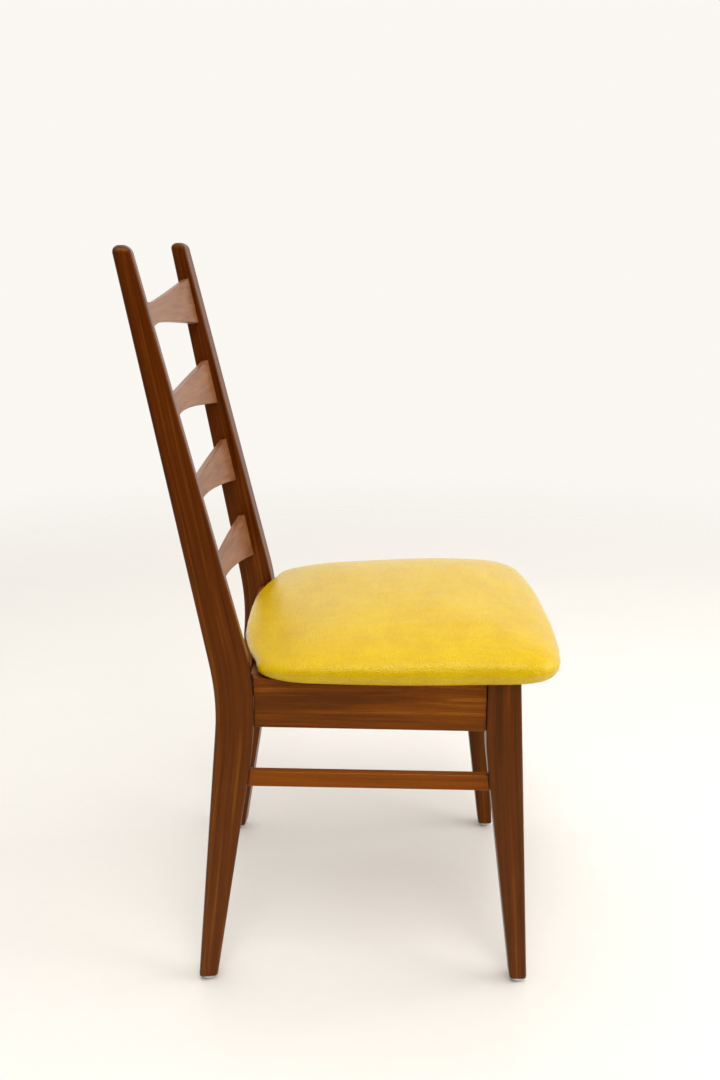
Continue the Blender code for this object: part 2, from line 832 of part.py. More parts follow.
def make_corner_block(name, end, side, group):
    corners = block_corners(end, side)
    middle = RAIL_TOP - BLOCK_BELOW_RAIL_TOP - BLOCK_HEIGHT / 2
    matrix = Matrix.Translation((0, 0, middle))
    return outline_solid(name, group, corners, BLOCK_HEIGHT, matrix, "beech")


def screw_profile(length):
    """A flat-headed screw along Z, its point up at z = length and its head's face at 0."""
    shank_end = length - SCREW_POINT
    return [
        (0, length),
        (SCREW_RADIUS, shank_end),
        (SCREW_RADIUS, SCREW_HEAD_HEIGHT),
        (SCREW_HEAD_RADIUS, SCREW_HEAD_RIM),
        (SCREW_HEAD_RADIUS, 0),
        (0, 0),
    ]


def make_screw(name, head, point, access, group, cutters):
    """A screw from head to point, with the cutter of its hole and of the way in to its head."""
    along = (point - head).normalized()
    length = (point - head).length
    matrix = frame_at(head, along)
    screw = turned_solid(name, group, screw_profile(length), SCREW_STEPS, matrix, "steel")
    shade_round(screw)
    grow = FIT_GAP / math.cos(math.pi / SCREW_STEPS)
    head_end = head + along * (SCREW_HEAD_HEIGHT + FIT_GAP)
    hole = cylinder(
        "hole_" + name, cutters, head, point + along * FIT_GAP, SCREW_RADIUS + grow, SCREW_STEPS
    )
    recess = cylinder(
        "recess_" + name, cutters, head - along * access, head_end,
        SCREW_HEAD_RADIUS + grow, SCREW_STEPS,
    )
    return hole, recess


def make_block_screws(end, side_name, side, group, cutters):
    """Three screws of a block: one into each rail and one up into the seat board."""
    corners = block_corners(end, side)
    cross_far, side_far = corners[0], corners[4]
    inner_corner = Vector((side_far.x, cross_far.y))
    middle = RAIL_TOP - BLOCK_BELOW_RAIL_TOP - BLOCK_HEIGHT / 2
    to_side_rail = Vector((side, 0, 0))
    to_cross_rail = Vector((0, -1 if end == "front" else 1, 0))
    label = f"{end}_{side_name}"
    access = BLOCK_LENGTH

    on_side = side_far.lerp(inner_corner, 1 - BLOCK_SCREW_SPREAD)
    side_z = middle + BLOCK_SCREW_LIFT
    face = Vector((rail_inner_x(side, on_side.y), on_side.y, side_z))
    into_side = make_screw(
        f"block_screw_{label}_side", face - to_side_rail * BLOCK_SCREW_WOOD,
        face + to_side_rail * BLOCK_SCREW_BITE, access, group, cutters,
    )

    on_cross = cross_far.lerp(inner_corner, 1 - BLOCK_SCREW_SPREAD)
    face = Vector((on_cross.x, cross_far.y, middle - BLOCK_SCREW_LIFT))
    into_cross = make_screw(
        f"block_screw_{label}_cross", face - to_cross_rail * BLOCK_SCREW_WOOD,
        face + to_cross_rail * BLOCK_SCREW_BITE, access, group, cutters,
    )

    spot = (corners[0] + corners[4]).lerp(corners[2] * 2, SEAT_SCREW_TO_CORNER) / 2
    head = Vector((spot.x, spot.y, middle - BLOCK_HEIGHT / 2))
    tip = Vector((spot.x, spot.y, BOARD_BOTTOM + SEAT_SCREW_BITE))
    into_seat = make_screw(f"seat_screw_{label}", head, tip, BLOCK_HEIGHT, group, cutters)
    return into_side, into_cross, into_seat


# ---------------------------------------------------------------- glides


def glide_profile():
    """A domed glide with its nail, turned about Z; z = 0 is the floor."""
    top = GLIDE_HEIGHT
    return [
        (0, top + GLIDE_NAIL_LENGTH),
        (GLIDE_NAIL_RADIUS, top + GLIDE_NAIL_LENGTH - GLIDE_NAIL_TAPER),
        (GLIDE_NAIL_RADIUS, top),
        (GLIDE_RADIUS - GLIDE_TOP_EASING[0], top),
        (GLIDE_RADIUS, top - GLIDE_TOP_EASING[1]),
        (GLIDE_RADIUS, top - GLIDE_CUP_WALL),
        (GLIDE_RADIUS - GLIDE_CUP_LIP[0], top - GLIDE_CUP_LIP[1]),
        (GLIDE_PAD_RADIUS, 0),
        (0, 0),
    ]


def foot_middle(end, side):
    if end == "front":
        back = (leg_front(FOOT_LEVEL) + leg_back(FOOT_LEVEL)) / 2
        return leg_matrix(side) @ Vector((0, -back, 0))
    back = (post_front(FOOT_LEVEL) + post_back(FOOT_LEVEL)) / 2
    return post_matrix(side) @ Vector((0, back, 0))


def make_glide(end, side_name, side, group, cutters):
    name = f"glide_{end}_{side_name}"
    spot = foot_middle(end, side)
    matrix = Matrix.Translation(spot)
    glide = turned_solid(name, group, glide_profile(), GLIDE_STEPS, matrix, "steel")
    shade_round(glide)
    top = spot + UP * (GLIDE_HEIGHT + GLIDE_NAIL_LENGTH + FIT_GAP)
    radius = GLIDE_NAIL_RADIUS + FIT_GAP / math.cos(math.pi / DOWEL_SIDES)
    return cylinder("hole_" + name, cutters, spot, top, radius, DOWEL_SIDES)


# ---------------------------------------------------------------- seat


def cushion_corners():
    """Corner points of the cushion in plan, and how far each corner is eased."""
    front_y = POST_FACE_Y - CUSHION_FRONT_REACH
    rear_y = POST_FACE_Y + CUSHION_REAR_REACH
    leg_outer = LEG_X + LEG_THICKNESS / 2
    post_outer = POST_X + POST_THICKNESS / 2
    post_inner = POST_X - POST_THICKNESS / 2
    rear_x = post_outer + CUSHION_SIDE_OVERHANG
    front_x = leg_outer + CUSHION_SIDE_OVERHANG - CUSHION_BOWED_SIDE
    side_y = (POST_FACE_Y + LEG_FACE_Y) / 2
    side_x = (rear_x + front_x) / 2 + 2 * CUSHION_BOWED_SIDE
    flat_x = post_inner - CUSHION_REAR_FLAT_INSET
    half = [
        (Vector((flat_x, rear_y)), CUSHION_FLAT_EASING),
        (Vector((rear_x, POST_FACE_Y - CUSHION_REAR_CORNER_SETBACK)), CUSHION_REAR_CORNER_EASING),
        (Vector((side_x, side_y)), CUSHION_SIDE_EASING),
        (Vector((front_x, front_y + CUSHION_CORNER_SETBACK)), CUSHION_FRONT_CORNER_EASING),
        (Vector((flat_x, front_y)), CUSHION_FLAT_EASING),
    ]
    mirrored = [(Vector((-corner.x, corner.y)), reach) for corner, reach in half[::-1]]
    return half + mirrored


def drawn_in(corners, inset):
    """The corners of a convex outline after each of its edges moves inwards by inset."""
    moved = []
    for i, corner in enumerate(corners):
        to_here = (corner - corners[i - 1]).normalized()
        to_next = (corners[(i + 1) % len(corners)] - corner).normalized()
        normals = to_here.orthogonal() + to_next.orthogonal()
        moved.append(corner - normals * inset / (1 + to_here.dot(to_next)))
    return moved


def cushion_outline(inset=0.0):
    corners, reaches = zip(*cushion_corners())
    return rounded_corners(drawn_in(corners, inset), reaches, CUSHION_CORNER_STEPS)


def crown_at(y):
    """Height of the crown above the rim at a world Y; the foam is thicker at the front."""
    share = (POST_FACE_Y + CUSHION_REAR_REACH - y) / (CUSHION_REAR_REACH + CUSHION_FRONT_REACH)
    return CUSHION_REAR_CROWN + (CUSHION_FRONT_CROWN - CUSHION_REAR_CROWN) * share


def ring_at(inset, level):
    return [Vector((*point, level)) for point in cushion_outline(inset)]


def upper_rings(depth):
    """Rings from the rim to near the middle, lying depth under the cushion's surface."""
    outline = cushion_outline(depth)
    middle = Vector((0, POST_FACE_Y + (CUSHION_REAR_REACH - CUSHION_FRONT_REACH) / 2))
    rings = []
    for turn in levels(0, math.radians(84), CUSHION_STATIONS):
        share = math.cos(turn) ** (2 / CUSHION_EDGE_POWER)
        lift = math.sin(turn) ** (2 / CUSHION_EDGE_POWER)
        points = [middle + (point - middle) * share for point in outline]
        rings.append([Vector((p.x, p.y, RIM_LEVEL + (crown_at(p.y) - depth) * lift)) for p in points])
    return rings


def rim_knuckle(depth):
    """Inset and height of the bulge between the cushion's underside and its rim."""
    inset = CUSHION_UNDER_ROUND * CUSHION_RIM_BULGE + depth
    return inset, COVER_BOTTOM + depth + CUSHION_RIM_RISE * CUSHION_RIM_BULGE


def under_rim_inset(level, depth):
    """Inset of the surface lying depth under the cushion's, between its bulge and its rim."""
    inset, bulge_level = rim_knuckle(depth)
    share = (RIM_LEVEL - level) / (RIM_LEVEL - bulge_level)
    return depth + (inset - depth) * share


def make_seat_board(name, group):
    outline = cushion_outline(CUSHION_UNDER_ROUND + COVER_THICKNESS + FOAM_SIDE_GAP)
    matrix = Matrix.Translation((0, 0, (BOARD_BOTTOM + BOARD_TOP) / 2))
    return outline_solid(name, group, outline, BOARD_THICKNESS, matrix, "plywood")


def make_seat_foam(name, group):
    depth = COVER_THICKNESS + FOAM_SIDE_GAP
    underside = BOARD_TOP + FIT_GAP
    base = ring_at(under_rim_inset(underside, depth), underside)
    foam = loft(name, [base, *upper_rings(depth)], group, "foam")
    shade_round(foam, 60)
    return foam


def make_seat_cover(name, group):
    """One skin: over the foam, round the rim, and folded in under the board."""
    hem_edge = CUSHION_UNDER_ROUND + COVER_HEM
    skin = COVER_THICKNESS
    outer = [
        ring_at(hem_edge, COVER_BOTTOM),
        ring_at(CUSHION_UNDER_ROUND, COVER_BOTTOM),
        ring_at(*rim_knuckle(0)),
        *upper_rings(0),
    ]
    inner = [
        ring_at(hem_edge, COVER_BOTTOM + skin),
        ring_at(CUSHION_UNDER_ROUND + skin, COVER_BOTTOM + skin),
        ring_at(*rim_knuckle(skin)),
        *upper_rings(skin),
    ]
    cover = loft(name, outer[::-1] + inner, group, "leatherette")
    shade_round(cover, 60)
    return cover


# ---------------------------------------------------------------- assembly


def make_side(side_name, side, parts, cutters):
    """One side of the frame, with its joints. Returns what its cross rails are cut by."""
    post = make_rear_post(f"rear_post_{side_name}", side, parts)
    leg = make_front_leg(f"front_leg_{side_name}", side, parts)
    rail = make_side_rail(f"side_rail_{side_name}", side, parts)
    stretcher = make_stretcher(f"side_stretcher_{side_name}", side, parts)

    rear_bores = make_side_rail_dowels(side_name, side, "rear", parts, cutters)
    front_bores = make_side_rail_dowels(side_name, side, "front", parts, cutters)
    front_cross = make_cross_rail_dowels("front_rail", side_name, side, parts, cutters)
    rear_cross = make_cross_rail_dowels("rear_rail", side_name, side, parts, cutters)
    stretcher_bores = make_stretcher_dowels(side_name, side, parts, cutters)
    mortises = [
        make_mortise(f"mortise_{side_name}_{index + 1}", side, index, cutters)
        for index in range(SLAT_COUNT)
    ]
    front_nail = make_glide("front", side_name, side, parts, cutters)
    rear_nail = make_glide("rear", side_name, side, parts, cutters)

    cut(post, rear_bores + rear_cross + [stretcher_bores["rear"], rear_nail] + mortises)
    cut(leg, front_bores + front_cross + [stretcher_bores["front"], front_nail])
    cut(stretcher, list(stretcher_bores.values()))

    rail_holes = rear_bores + front_bores
    cross_holes = {"front": list(front_cross), "rear": list(rear_cross)}
    seat_holes = []
    for end in ("front", "rear"):
        corner = make_corner_block(f"corner_block_{end}_{side_name}", end, side, parts)
        into_side, into_cross, into_seat = make_block_screws(end, side_name, side, parts, cutters)
        cut(corner, [*into_side, *into_cross, *into_seat])
        rail_holes.append(into_side[0])
        cross_holes[end].append(into_cross[0])
        seat_holes.append(into_seat[0])
    cut(rail, rail_holes)
    return cross_holes, seat_holes


def main():
    clear_scene()
    parts = new_collection(OBJECT_NAME)
    cutters = new_collection("cutters", hidden=True)

    front_rail = make_front_rail("front_rail", parts)
    rear_rail = make_rear_rail("rear_rail", parts)
    board = make_seat_board("seat_board", parts)
    make_seat_foam("seat_foam", parts)
    make_seat_cover("seat_cover", parts)
    for index in range(SLAT_COUNT):
        make_slat(f"back_slat_{index + 1}", index, parts, cutters)
    for side_name, side in SIDES.items():
        cross_holes, seat_holes = make_side(side_name, side, parts, cutters)
        cut(front_rail, cross_holes["front"])
        cut(rear_rail, cross_holes["rear"])
        cut(board, seat_holes)
    for cutter in cutters.objects:
        cutter.hide_render = True
        cutter.display_type = "WIRE"
    bpy.context.view_layer.update()


if __name__ == "__main__":
    main()
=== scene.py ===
"""Looks for a packed ladder-back dining chair, laid out as a Blender add-on and run as a script."""

import math
from functools import partial, partialmethod

import bmesh
import bpy
import numpy as np
from bpy.props import FloatProperty, FloatVectorProperty, IntProperty, PointerProperty
from mathutils import Matrix, Vector, noise
from mathutils.bvhtree import BVHTree
from mathutils.geometry import convex_hull_2d


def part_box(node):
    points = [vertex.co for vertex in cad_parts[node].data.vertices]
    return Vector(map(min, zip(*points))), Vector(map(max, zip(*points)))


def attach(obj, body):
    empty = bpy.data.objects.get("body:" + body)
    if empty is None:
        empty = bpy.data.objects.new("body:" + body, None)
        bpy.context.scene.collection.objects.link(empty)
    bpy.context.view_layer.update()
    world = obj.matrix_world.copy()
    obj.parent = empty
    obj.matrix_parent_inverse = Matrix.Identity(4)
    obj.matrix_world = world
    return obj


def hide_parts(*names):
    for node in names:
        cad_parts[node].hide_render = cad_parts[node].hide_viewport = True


bl_info = {
    "name": "Dining chair",
    "version": (1, 0, 0),
    "blender": (4, 5, 0),
    "location": "3D View > Sidebar > Chair",
    "description": "Timber, seat pad, fittings and stage of a ladder-back dining chair",
    "category": "Object",
}

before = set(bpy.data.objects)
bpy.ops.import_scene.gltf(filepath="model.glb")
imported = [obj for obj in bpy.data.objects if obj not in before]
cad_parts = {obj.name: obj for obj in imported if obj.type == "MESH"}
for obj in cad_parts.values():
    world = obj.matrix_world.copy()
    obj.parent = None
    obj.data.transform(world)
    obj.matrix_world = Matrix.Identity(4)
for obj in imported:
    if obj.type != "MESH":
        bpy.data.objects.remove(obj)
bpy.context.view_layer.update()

BODY = "root"
SIDES = ("right", "left")
ENDS = ("front", "rear")
UP = Vector((0, 0, 1))
QUARTER = math.pi / 2
TINY = 1e-6


# ---------------- settings


def colour(name, description, default):
    return FloatVectorProperty(
        name=name, description=description, subtype="COLOR", size=3, min=0, max=1, default=default
    )


def length(name, description, default):
    return FloatProperty(name=name, description=description, default=default, unit="LENGTH")


def number(name, description, default):
    return FloatProperty(name=name, description=description, default=default)


class TimberSettings(bpy.types.PropertyGroup):
    arris_radius: length("Arris radius", "Rounding along the long edges of posts and legs", 0.0036)
    rail_edge: length("Rail edge", "Rounding along the edges of rails and stretchers", 0.0017)
    slat_edge: length("Slat edge", "Rounding along the edges of the back slats", 0.0008)
    crown_radius: length("Post crown", "Radius of the rounded tops of the rear posts", 0.0088)
    leg_top: length("Leg top", "Rounding round the tops of the front legs", 0.0015)
    foot_radius: length("Foot rounding", "Rounding round the bottom of each foot", 0.0042)
    dark: colour("Dark grain", "Colour of the darkest streaks", (0.044, 0.0085, 0.0010))
    body: colour("Body", "Main colour of the posts and legs", (0.103, 0.0185, 0.0008))
    light: colour("Light grain", "Colour of the palest streaks", (0.190, 0.0520, 0.0050))
    rail_body: colour("Rails", "Main colour of the rails", (0.200, 0.0440, 0.0010))
    rail_light: colour("Rail stripes", "Colour of the rails' palest stripes", (0.330, 0.1050, 0.0070))
    stretcher_body: colour("Stretchers", "Main colour of the stretchers", (0.240, 0.0530, 0.0006))
    # The slats are the same wood as the posts; their paler, less saturated tones are a painted sheen of the
    # light on their faces.
    slat_body_with_sheen: colour("Slats", "Main colour of the back slats", (0.275, 0.1150, 0.0480))
    slat_light_with_sheen: colour("Slat stripes", "Colour of the slats' palest stripes", (0.380, 0.1850, 0.0820))
    gloss: number("Roughness", "Roughness of the oiled surface", 0.34)


class SeatSettings(bpy.types.PropertyGroup):
    hide: colour("Leatherette", "Main colour of the seat's skin", (0.765, 0.530, 0.0022))
    hide_deep: colour("Deep tone", "Colour of the skin's deeper patches", (0.690, 0.440, 0.0009))
    pebble: length("Pebble size", "Distance between grain pebbles", 0.0017)
    voxel: length("Mesh pitch", "Pitch of the simulated mesh", 0.0050)
    pressure: number("Pressure", "Pressure of the stuffing on its skin", 4.0)
    travel: length("Most travel", "How far stuffing may push the skin", 0.0060)
    fill: number("Fill", "How tightly the pad is stuffed", 0.85)
    tautness: IntProperty(name="Tautness", description="Rounds that pull the skin smooth", default=30)
    staple_pitch: length("Staple pitch", "Distance between staples under the seat", 0.026)


class StageSettings(bpy.types.PropertyGroup):
    floor: colour("Floor", "Colour of the floor", (0.925, 0.915, 0.895))
    floor_fade: length("Floor fade", "Distance at which the floor has faded away", 3.1)
    backdrop: colour("Backdrop", "Colour all round", (0.958, 0.932, 0.885))
    behind: colour("Behind the viewer", "Colour of the room behind the camera", (0.16, 0.12, 0.08))
    backdrop_strength: number("Backdrop strength", "Brightness all round", 1.0)
    window: number("Window", "Power of the lamp before the chair, in watts", 49.0)
    ceiling: number("Ceiling", "Power of the lamp overhead, in watts", 20.0)
    key: number("Key", "Power of the lamp above the camera, in watts", 47.0)
    overhead: colour("Overhead", "Colour straight above", (0.58, 0.56, 0.52))
    eye_distance: length("Eye distance", "From the chair's middle plane to the camera", 1.4253)
    eye_height: length("Eye height", "Height of the camera", 0.9492)
    eye_forward: length("Eye forward", "How far before the box's middle the camera stands", 0.0087)
    eye_pitch: FloatProperty(
        name="Pitch", description="How far down the camera looks", subtype="ANGLE",
        default=math.radians(15.68),
    )
    lens: number("Lens", "Focal length in millimetres on a 36 mm frame", 36.08)


# ---------------- node building


def with_settings(thing, **settings):
    """The same thing, once these settings of it are set."""
    for name, value in settings.items():
        setattr(thing, name, value)
    return thing


class Wire:
    """A node's output. Operators on it add Math nodes."""

    def __init__(self, graph, socket):
        self.graph = graph
        self.socket = socket

    def maths(self, operation, *others):
        values = dict(enumerate((self, *others)))
        return self.graph.node("ShaderNodeMath", values, {"operation": operation})

    __add__ = __radd__ = partialmethod(maths, "ADD")
    __mul__ = __rmul__ = partialmethod(maths, "MULTIPLY")
    __sub__ = partialmethod(maths, "SUBTRACT")
    __truediv__ = partialmethod(maths, "DIVIDE")
    __pow__ = partialmethod(maths, "POWER")
    __abs__ = partialmethod(maths, "ABSOLUTE")
    __neg__ = partialmethod(maths, "MULTIPLY", -1.0)

    def __rsub__(self, other):
        return self.graph.node("ShaderNodeMath", {0: other, 1: self}, {"operation": "SUBTRACT"})

    def clipped(self):
        return self.graph.node("ShaderNodeClamp", {"Value": self})

    def between(self, low, high):
        """0 at low, 1 at high, eased and held outside."""
        return self.graph.node(
            "ShaderNodeMapRange", {"Value": self, "From Min": low, "From Max": high},
            {"interpolation_type": "SMOOTHSTEP"},
        )


class Graph:
    """Adds nodes to a tree. Inputs are values or Wires, by socket name or place."""

    def __init__(self, tree):
        self.tree = tree

    def node(self, kind, inputs=None, settings=None, output=0):
        made = with_settings(self.tree.nodes.new(kind), **(settings or {}))
        for key, value in (inputs or {}).items():
            self.feed(made.inputs[key], value)
        return Wire(self, made.outputs[output])

    def feed(self, socket, value):
        """Gives a socket a value or a Wire."""
        if isinstance(value, Wire):
            self.tree.links.new(value.socket, socket)
        else:
            socket.default_value = value

    def place(self):
        return self.node("ShaderNodeTexCoord", output="Object")

    def vector(self, operation, *values):
        return self.node("ShaderNodeVectorMath", dict(enumerate(values)), {"operation": operation})

    def split(self, vector):
        made = self.node("ShaderNodeSeparateXYZ", {0: vector}).socket.node
        return [Wire(self, socket) for socket in made.outputs]

    def joined(self, x, y, z):
        return self.node("ShaderNodeCombineXYZ", {0: x, 1: y, 2: z})

    def mix(self, share, first, second):
        """A colour between two colours."""
        tones = [tone if isinstance(tone, Wire) else (*tuple(tone)[:3], 1.0) for tone in (first, second)]
        return self.node("ShaderNodeMix", {0: share, 6: tones[0], 7: tones[1]}, {"data_type": "RGBA"}, 2)

    def noise(self, place, waves, detail=2.0, roughness=0.5, output=0):
        """Noise with this many waves in a metre along each axis."""
        return self.node("ShaderNodeTexNoise", {
            "Vector": self.vector("MULTIPLY", place, waves), "Scale": 1.0,
            "Detail": detail, "Roughness": roughness,
        }, output=output)

    def bump(self, height, distance, strength=1.0, **under):
        return self.node("ShaderNodeBump", {
            "Height": height, "Distance": distance, "Strength": strength, **under,
        })


# ---------------- materials

WARM_SHEEN = (1.0, 0.52, 0.18)
COOL_SHEEN = (1.0, 0.95, 0.95)
MADE = {}


def streaky(graph, place, stripe, figure):
    """Tone from 0 to 1 of straight-grained wood, its pores, and its fine fibres."""
    drift = graph.noise(place, (9, 9, 2.6), output=1)
    sway = graph.vector("MULTIPLY", graph.vector("SUBTRACT", drift, (0.5, 0.5, 0.5)), (figure, figure, 0))
    bent = graph.vector("ADD", place, sway)
    broad = graph.noise(bent, (55 / stripe, 55 / stripe, 1.7), 1.5)
    bands = graph.noise(bent, (190 / stripe, 150 / stripe, 3.2), 3, 0.62)
    fibres = graph.noise(bent, (1300, 1300, 17), 2.5, 0.6)
    pores = graph.noise(place, (3300, 3300, 120), 1)
    cloud = graph.noise(place, (14, 14, 5))
    tone = (broad - 0.5) * 1.25 + (bands - 0.5) * 1.7 + (fibres - 0.5) * 0.75 + (cloud - 0.5) * 0.5
    return (tone + 0.5).clipped(), pores.between(0.60, 0.72), fibres


def oiled_wood(graph, dark, body, light, edge, stripe, figure, contrast, sheen, gloss):
    """Satin, oiled hardwood with its grain along each piece, and another tone along its rounded edges."""
    place = graph.node("ShaderNodeAttribute", settings={"attribute_name": "grain"}, output="Vector")
    arris = graph.node("ShaderNodeAttribute", settings={"attribute_name": "arris"}, output="Fac")
    tone, pores, fibres = streaky(graph, place, stripe, figure)
    strong = tone * contrast + (0.5 - 0.5 * contrast)
    wood = graph.mix(strong.between(0.54, 0.98), graph.mix(strong.between(0.08, 0.60), dark, body), light)
    # Along the rounded edges the tone turns toward the edge tone: darker on posts, rails and slats, and paler
    # on the stretchers, where it is a painted highlight on the arris.
    edge_toned = graph.mix(arris * 0.65, wood, edge)
    return {
        "Base Color": graph.mix(pores * 0.42, edge_toned, [c * 0.45 for c in dark]),
        "Roughness": (gloss - 0.05) + fibres * 0.10 + pores * 0.16 - arris * 0.05,
        "IOR": 1.46,
        "Specular IOR Level": 0.50,
        "Specular Tint": (*sheen, 1.0),
        "Normal": graph.bump(fibres * 0.5 - pores * 0.9, 0.00006, 0.55),
    }


def bare_wood(graph, dark, light, waves, layers=0.0):
    """Unfinished pale timber; layers gives the pitch of plywood's plies on its edges."""
    place = graph.place()
    streaks = graph.noise(place, waves, 3, 0.6)
    cloud = graph.noise(place, (22, 22, 22))
    tone = (streaks * 0.75 + cloud * 0.35 - 0.05).clipped()
    if layers:
        edge = 1 - abs(graph.split(graph.node("ShaderNodeNewGeometry", output="Normal"))[2])
        phase = graph.split(place)[2] * (2 * math.pi / layers)
        plies = phase.maths("SINE") * 0.5 + 0.5
        tone = tone * (1 - edge * plies * 0.6)
    return {
        "Base Color": graph.mix(tone, dark, light),
        "Roughness": 0.62 + streaks * 0.2,
        "Normal": graph.bump(streaks, 0.0002, 0.5),
    }


def leatherette(graph, hide, hide_deep, pebble):
    """Pebble-grained upholstery skin, faintly mottled, with a soft gloss."""
    place = graph.place()
    pitch = 1 / pebble
    wobble = graph.noise(place, (420, 420, 420), 1, output=1)
    jittered = graph.vector("ADD", graph.vector("MULTIPLY", place, (pitch, pitch, pitch)), wobble)
    pebbles = graph.node(
        "ShaderNodeTexVoronoi",
        {"Vector": jittered, "Scale": 1.0, "Smoothness": 0.35, "Randomness": 0.9},
        {"feature": "SMOOTH_F1"}, "Distance",
    )
    patches = graph.noise(place, (13, 24, 13), 3, 0.55)
    strokes = graph.noise(place, (120, 26, 60), 3, 0.65)
    creases = graph.noise(place, (38, 95, 38), 2, 0.6)
    mottle = (patches * 0.7 + strokes * 0.45 - 0.07).clipped()
    skin = graph.mix(mottle.between(0.30, 0.72), hide_deep, hide)
    valley = pebbles.between(0.42, 0.80)
    soft = graph.bump(creases + strokes * 0.4, 0.0006, 0.25)
    return {
        # The pebbles' valleys are painted darker: a painted shade in the hollows of the grain.
        "Base Color": graph.mix(valley * 0.34, skin, [c * 0.55 for c in hide_deep]),
        "Roughness": 0.15 + mottle * 0.05 + valley * 0.12,
        "IOR": 1.50,
        "Specular Tint": (1.0, 0.90, 0.50, 1.0),
        "Normal": graph.bump(1 - pebbles, 0.00038, Normal=soft),
    }


def metal(graph, pale, dull, roughness, grime):
    """Plated metal with fine scratches and dull patches."""
    place = graph.place()
    scratches = graph.noise(place, (900, 900, 4200), 2, 0.6)
    tarnish = graph.noise(place, (160, 160, 160), 3, 0.6).between(0.45, 0.75)
    return {
        "Base Color": graph.mix(tarnish * grime * 2, pale, dull),
        "Metallic": 1.0,
        "Roughness": roughness + scratches * 0.12 + tarnish * grime,
        "Normal": graph.bump(scratches, 0.00002, 0.4),
    }


def nylon(graph, pale, deep, scale, roughness):
    """A speckled matt plastic."""
    place = graph.place()
    cells = graph.node("ShaderNodeTexVoronoi", {"Vector": place, "Scale": scale}, output="Distance")
    cloud = graph.noise(place, (30, 30, 30))
    return {
        "Base Color": graph.mix((cells * 0.5 + cloud * 0.6).clipped(), deep, pale),
        "Roughness": roughness + cloud * 0.15,
        "Normal": graph.bump(cells, 0.0002, 0.5),
    }


def pale_floor(graph, tone, fade):
    """A pale floor that fades into the backdrop with distance."""
    place = graph.place()
    cloud = graph.noise(place, (3, 1.2, 1), 3, 0.6)
    grit = graph.noise(place, (90, 40, 1), 2, 0.6)
    away = graph.node("ShaderNodeVectorMath", {0: place}, {"operation": "LENGTH"}, 1)
    return {
        "Base Color": graph.mix((cloud * 0.6 + grit * 0.4).between(0.2, 0.8), [c * 0.97 for c in tone], tone),
        "Roughness": 0.42 + grit * 0.12,
        "Normal": graph.bump(grit, 0.0004, 0.12),
        "Alpha": 1 - away.between(fade * 0.3, fade),
    }


def finishes():
    """The painter of each finish, and what it is given after the graph."""
    scene = bpy.context.scene
    wood, seat, stage = scene.chair_timber, scene.chair_seat, scene.chair_stage
    # The slat tones hold a painted sheen: they are the posts' wood, painted paler.
    dark, body, rail, slat = wood.dark, wood.body, wood.rail_body, wood.slat_body_with_sheen
    rail_dark = [a * 0.7 + b * 0.3 for a, b in zip(dark, rail)]
    slat_dark_with_sheen = [(a + b) / 2 for a, b in zip(dark, slat)]
    pale, stretcher = wood.rail_light, wood.stretcher_body
    teak = partial(oiled_wood, gloss=wood.gloss)
    return {
        # dark, body, light and edge tones, then stripe, figure, contrast and sheen
        "post_teak": (teak, dark, body, wood.light, dark, 0.6, 0.010, 0.80, WARM_SHEEN),
        "rail_teak": (teak, rail_dark, rail, pale, body, 1.35, 0.04, 1.05, WARM_SHEEN),
        "stretcher_teak": (teak, body, stretcher, pale, pale, 1.1, 0.02, 0.6, WARM_SHEEN),
        "slat_teak": (teak, slat_dark_with_sheen, slat, wood.slat_light_with_sheen, body, 0.9, 0.012, 0.7, COOL_SHEEN),
        "beech": (bare_wood, (0.200, 0.095, 0.040), (0.340, 0.180, 0.080), (260, 30, 260)),
        "plywood": (bare_wood, (0.27, 0.150, 0.070), (0.56, 0.375, 0.200), (150, 11, 150), 0.0042),
        "pad": (nylon, (0.72, 0.71, 0.68), (0.40, 0.39, 0.37), 1500, 0.5),
        "leatherette": (leatherette, seat.hide, seat.hide_deep, seat.pebble),
        "nickel": (metal, (0.66, 0.67, 0.68), (0.38, 0.38, 0.38), 0.26, 0.2),
        "zinc": (metal, (0.62, 0.62, 0.60), (0.40, 0.37, 0.30), 0.34, 0.3),
        "floor": (pale_floor, stage.floor, stage.floor_fade),
    }


def material(name):
    """The finish of that name, made once."""
    if name not in MADE:
        made = MADE[name] = bpy.data.materials.new(name)
        made.use_nodes = True
        graph = Graph(made.node_tree)
        surface = made.node_tree.nodes["Principled BSDF"]
        painter, *values = finishes()[name]
        for socket, value in painter(graph, *values).items():
            graph.feed(surface.inputs[socket], value)
    return MADE[name]


# ---------------- mesh building

ARRIS_SHARPNESS = 3.4
FAR_OUT = 0.5


def placed(name, data):
    """A new object of this data, in the scene."""
    made = bpy.data.objects.new(name, data)
    bpy.context.scene.collection.objects.link(made)
    return made


def evaluated(holder):
    """The plain mesh that an object's modifiers make of it."""
    graph = bpy.context.evaluated_depsgraph_get()
    return bpy.data.meshes.new_from_object(holder.evaluated_get(graph))


def piece(name, mesh, finish, slot, *replaced):
    """A finished piece at the origin, riding on the chair, that stands for CAD nodes."""
    made = placed(name, mesh)
    mesh.materials.clear()
    mesh.materials.append(material(finish))
    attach(made, BODY)
    if replaced:
        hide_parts(*replaced)
    return made


def smoothed(mesh):
    """The mesh shaded smooth, with large faces kept flat across."""
    holder = placed("holder", mesh)
    mesh.shade_smooth()
    with_settings(holder.modifiers.new("weighted", "WEIGHTED_NORMAL"), keep_sharp=True)
    result = evaluated(holder)
    bpy.data.objects.remove(holder)
    return result


def mesh_from(work, name):
    """A mesh of the work, which is then freed."""
    mesh = bpy.data.meshes.new(name)
    work.to_mesh(mesh)
    work.free()
    return mesh


def work_on(mesh):
    work = bmesh.new()
    work.from_mesh(mesh)
    return work


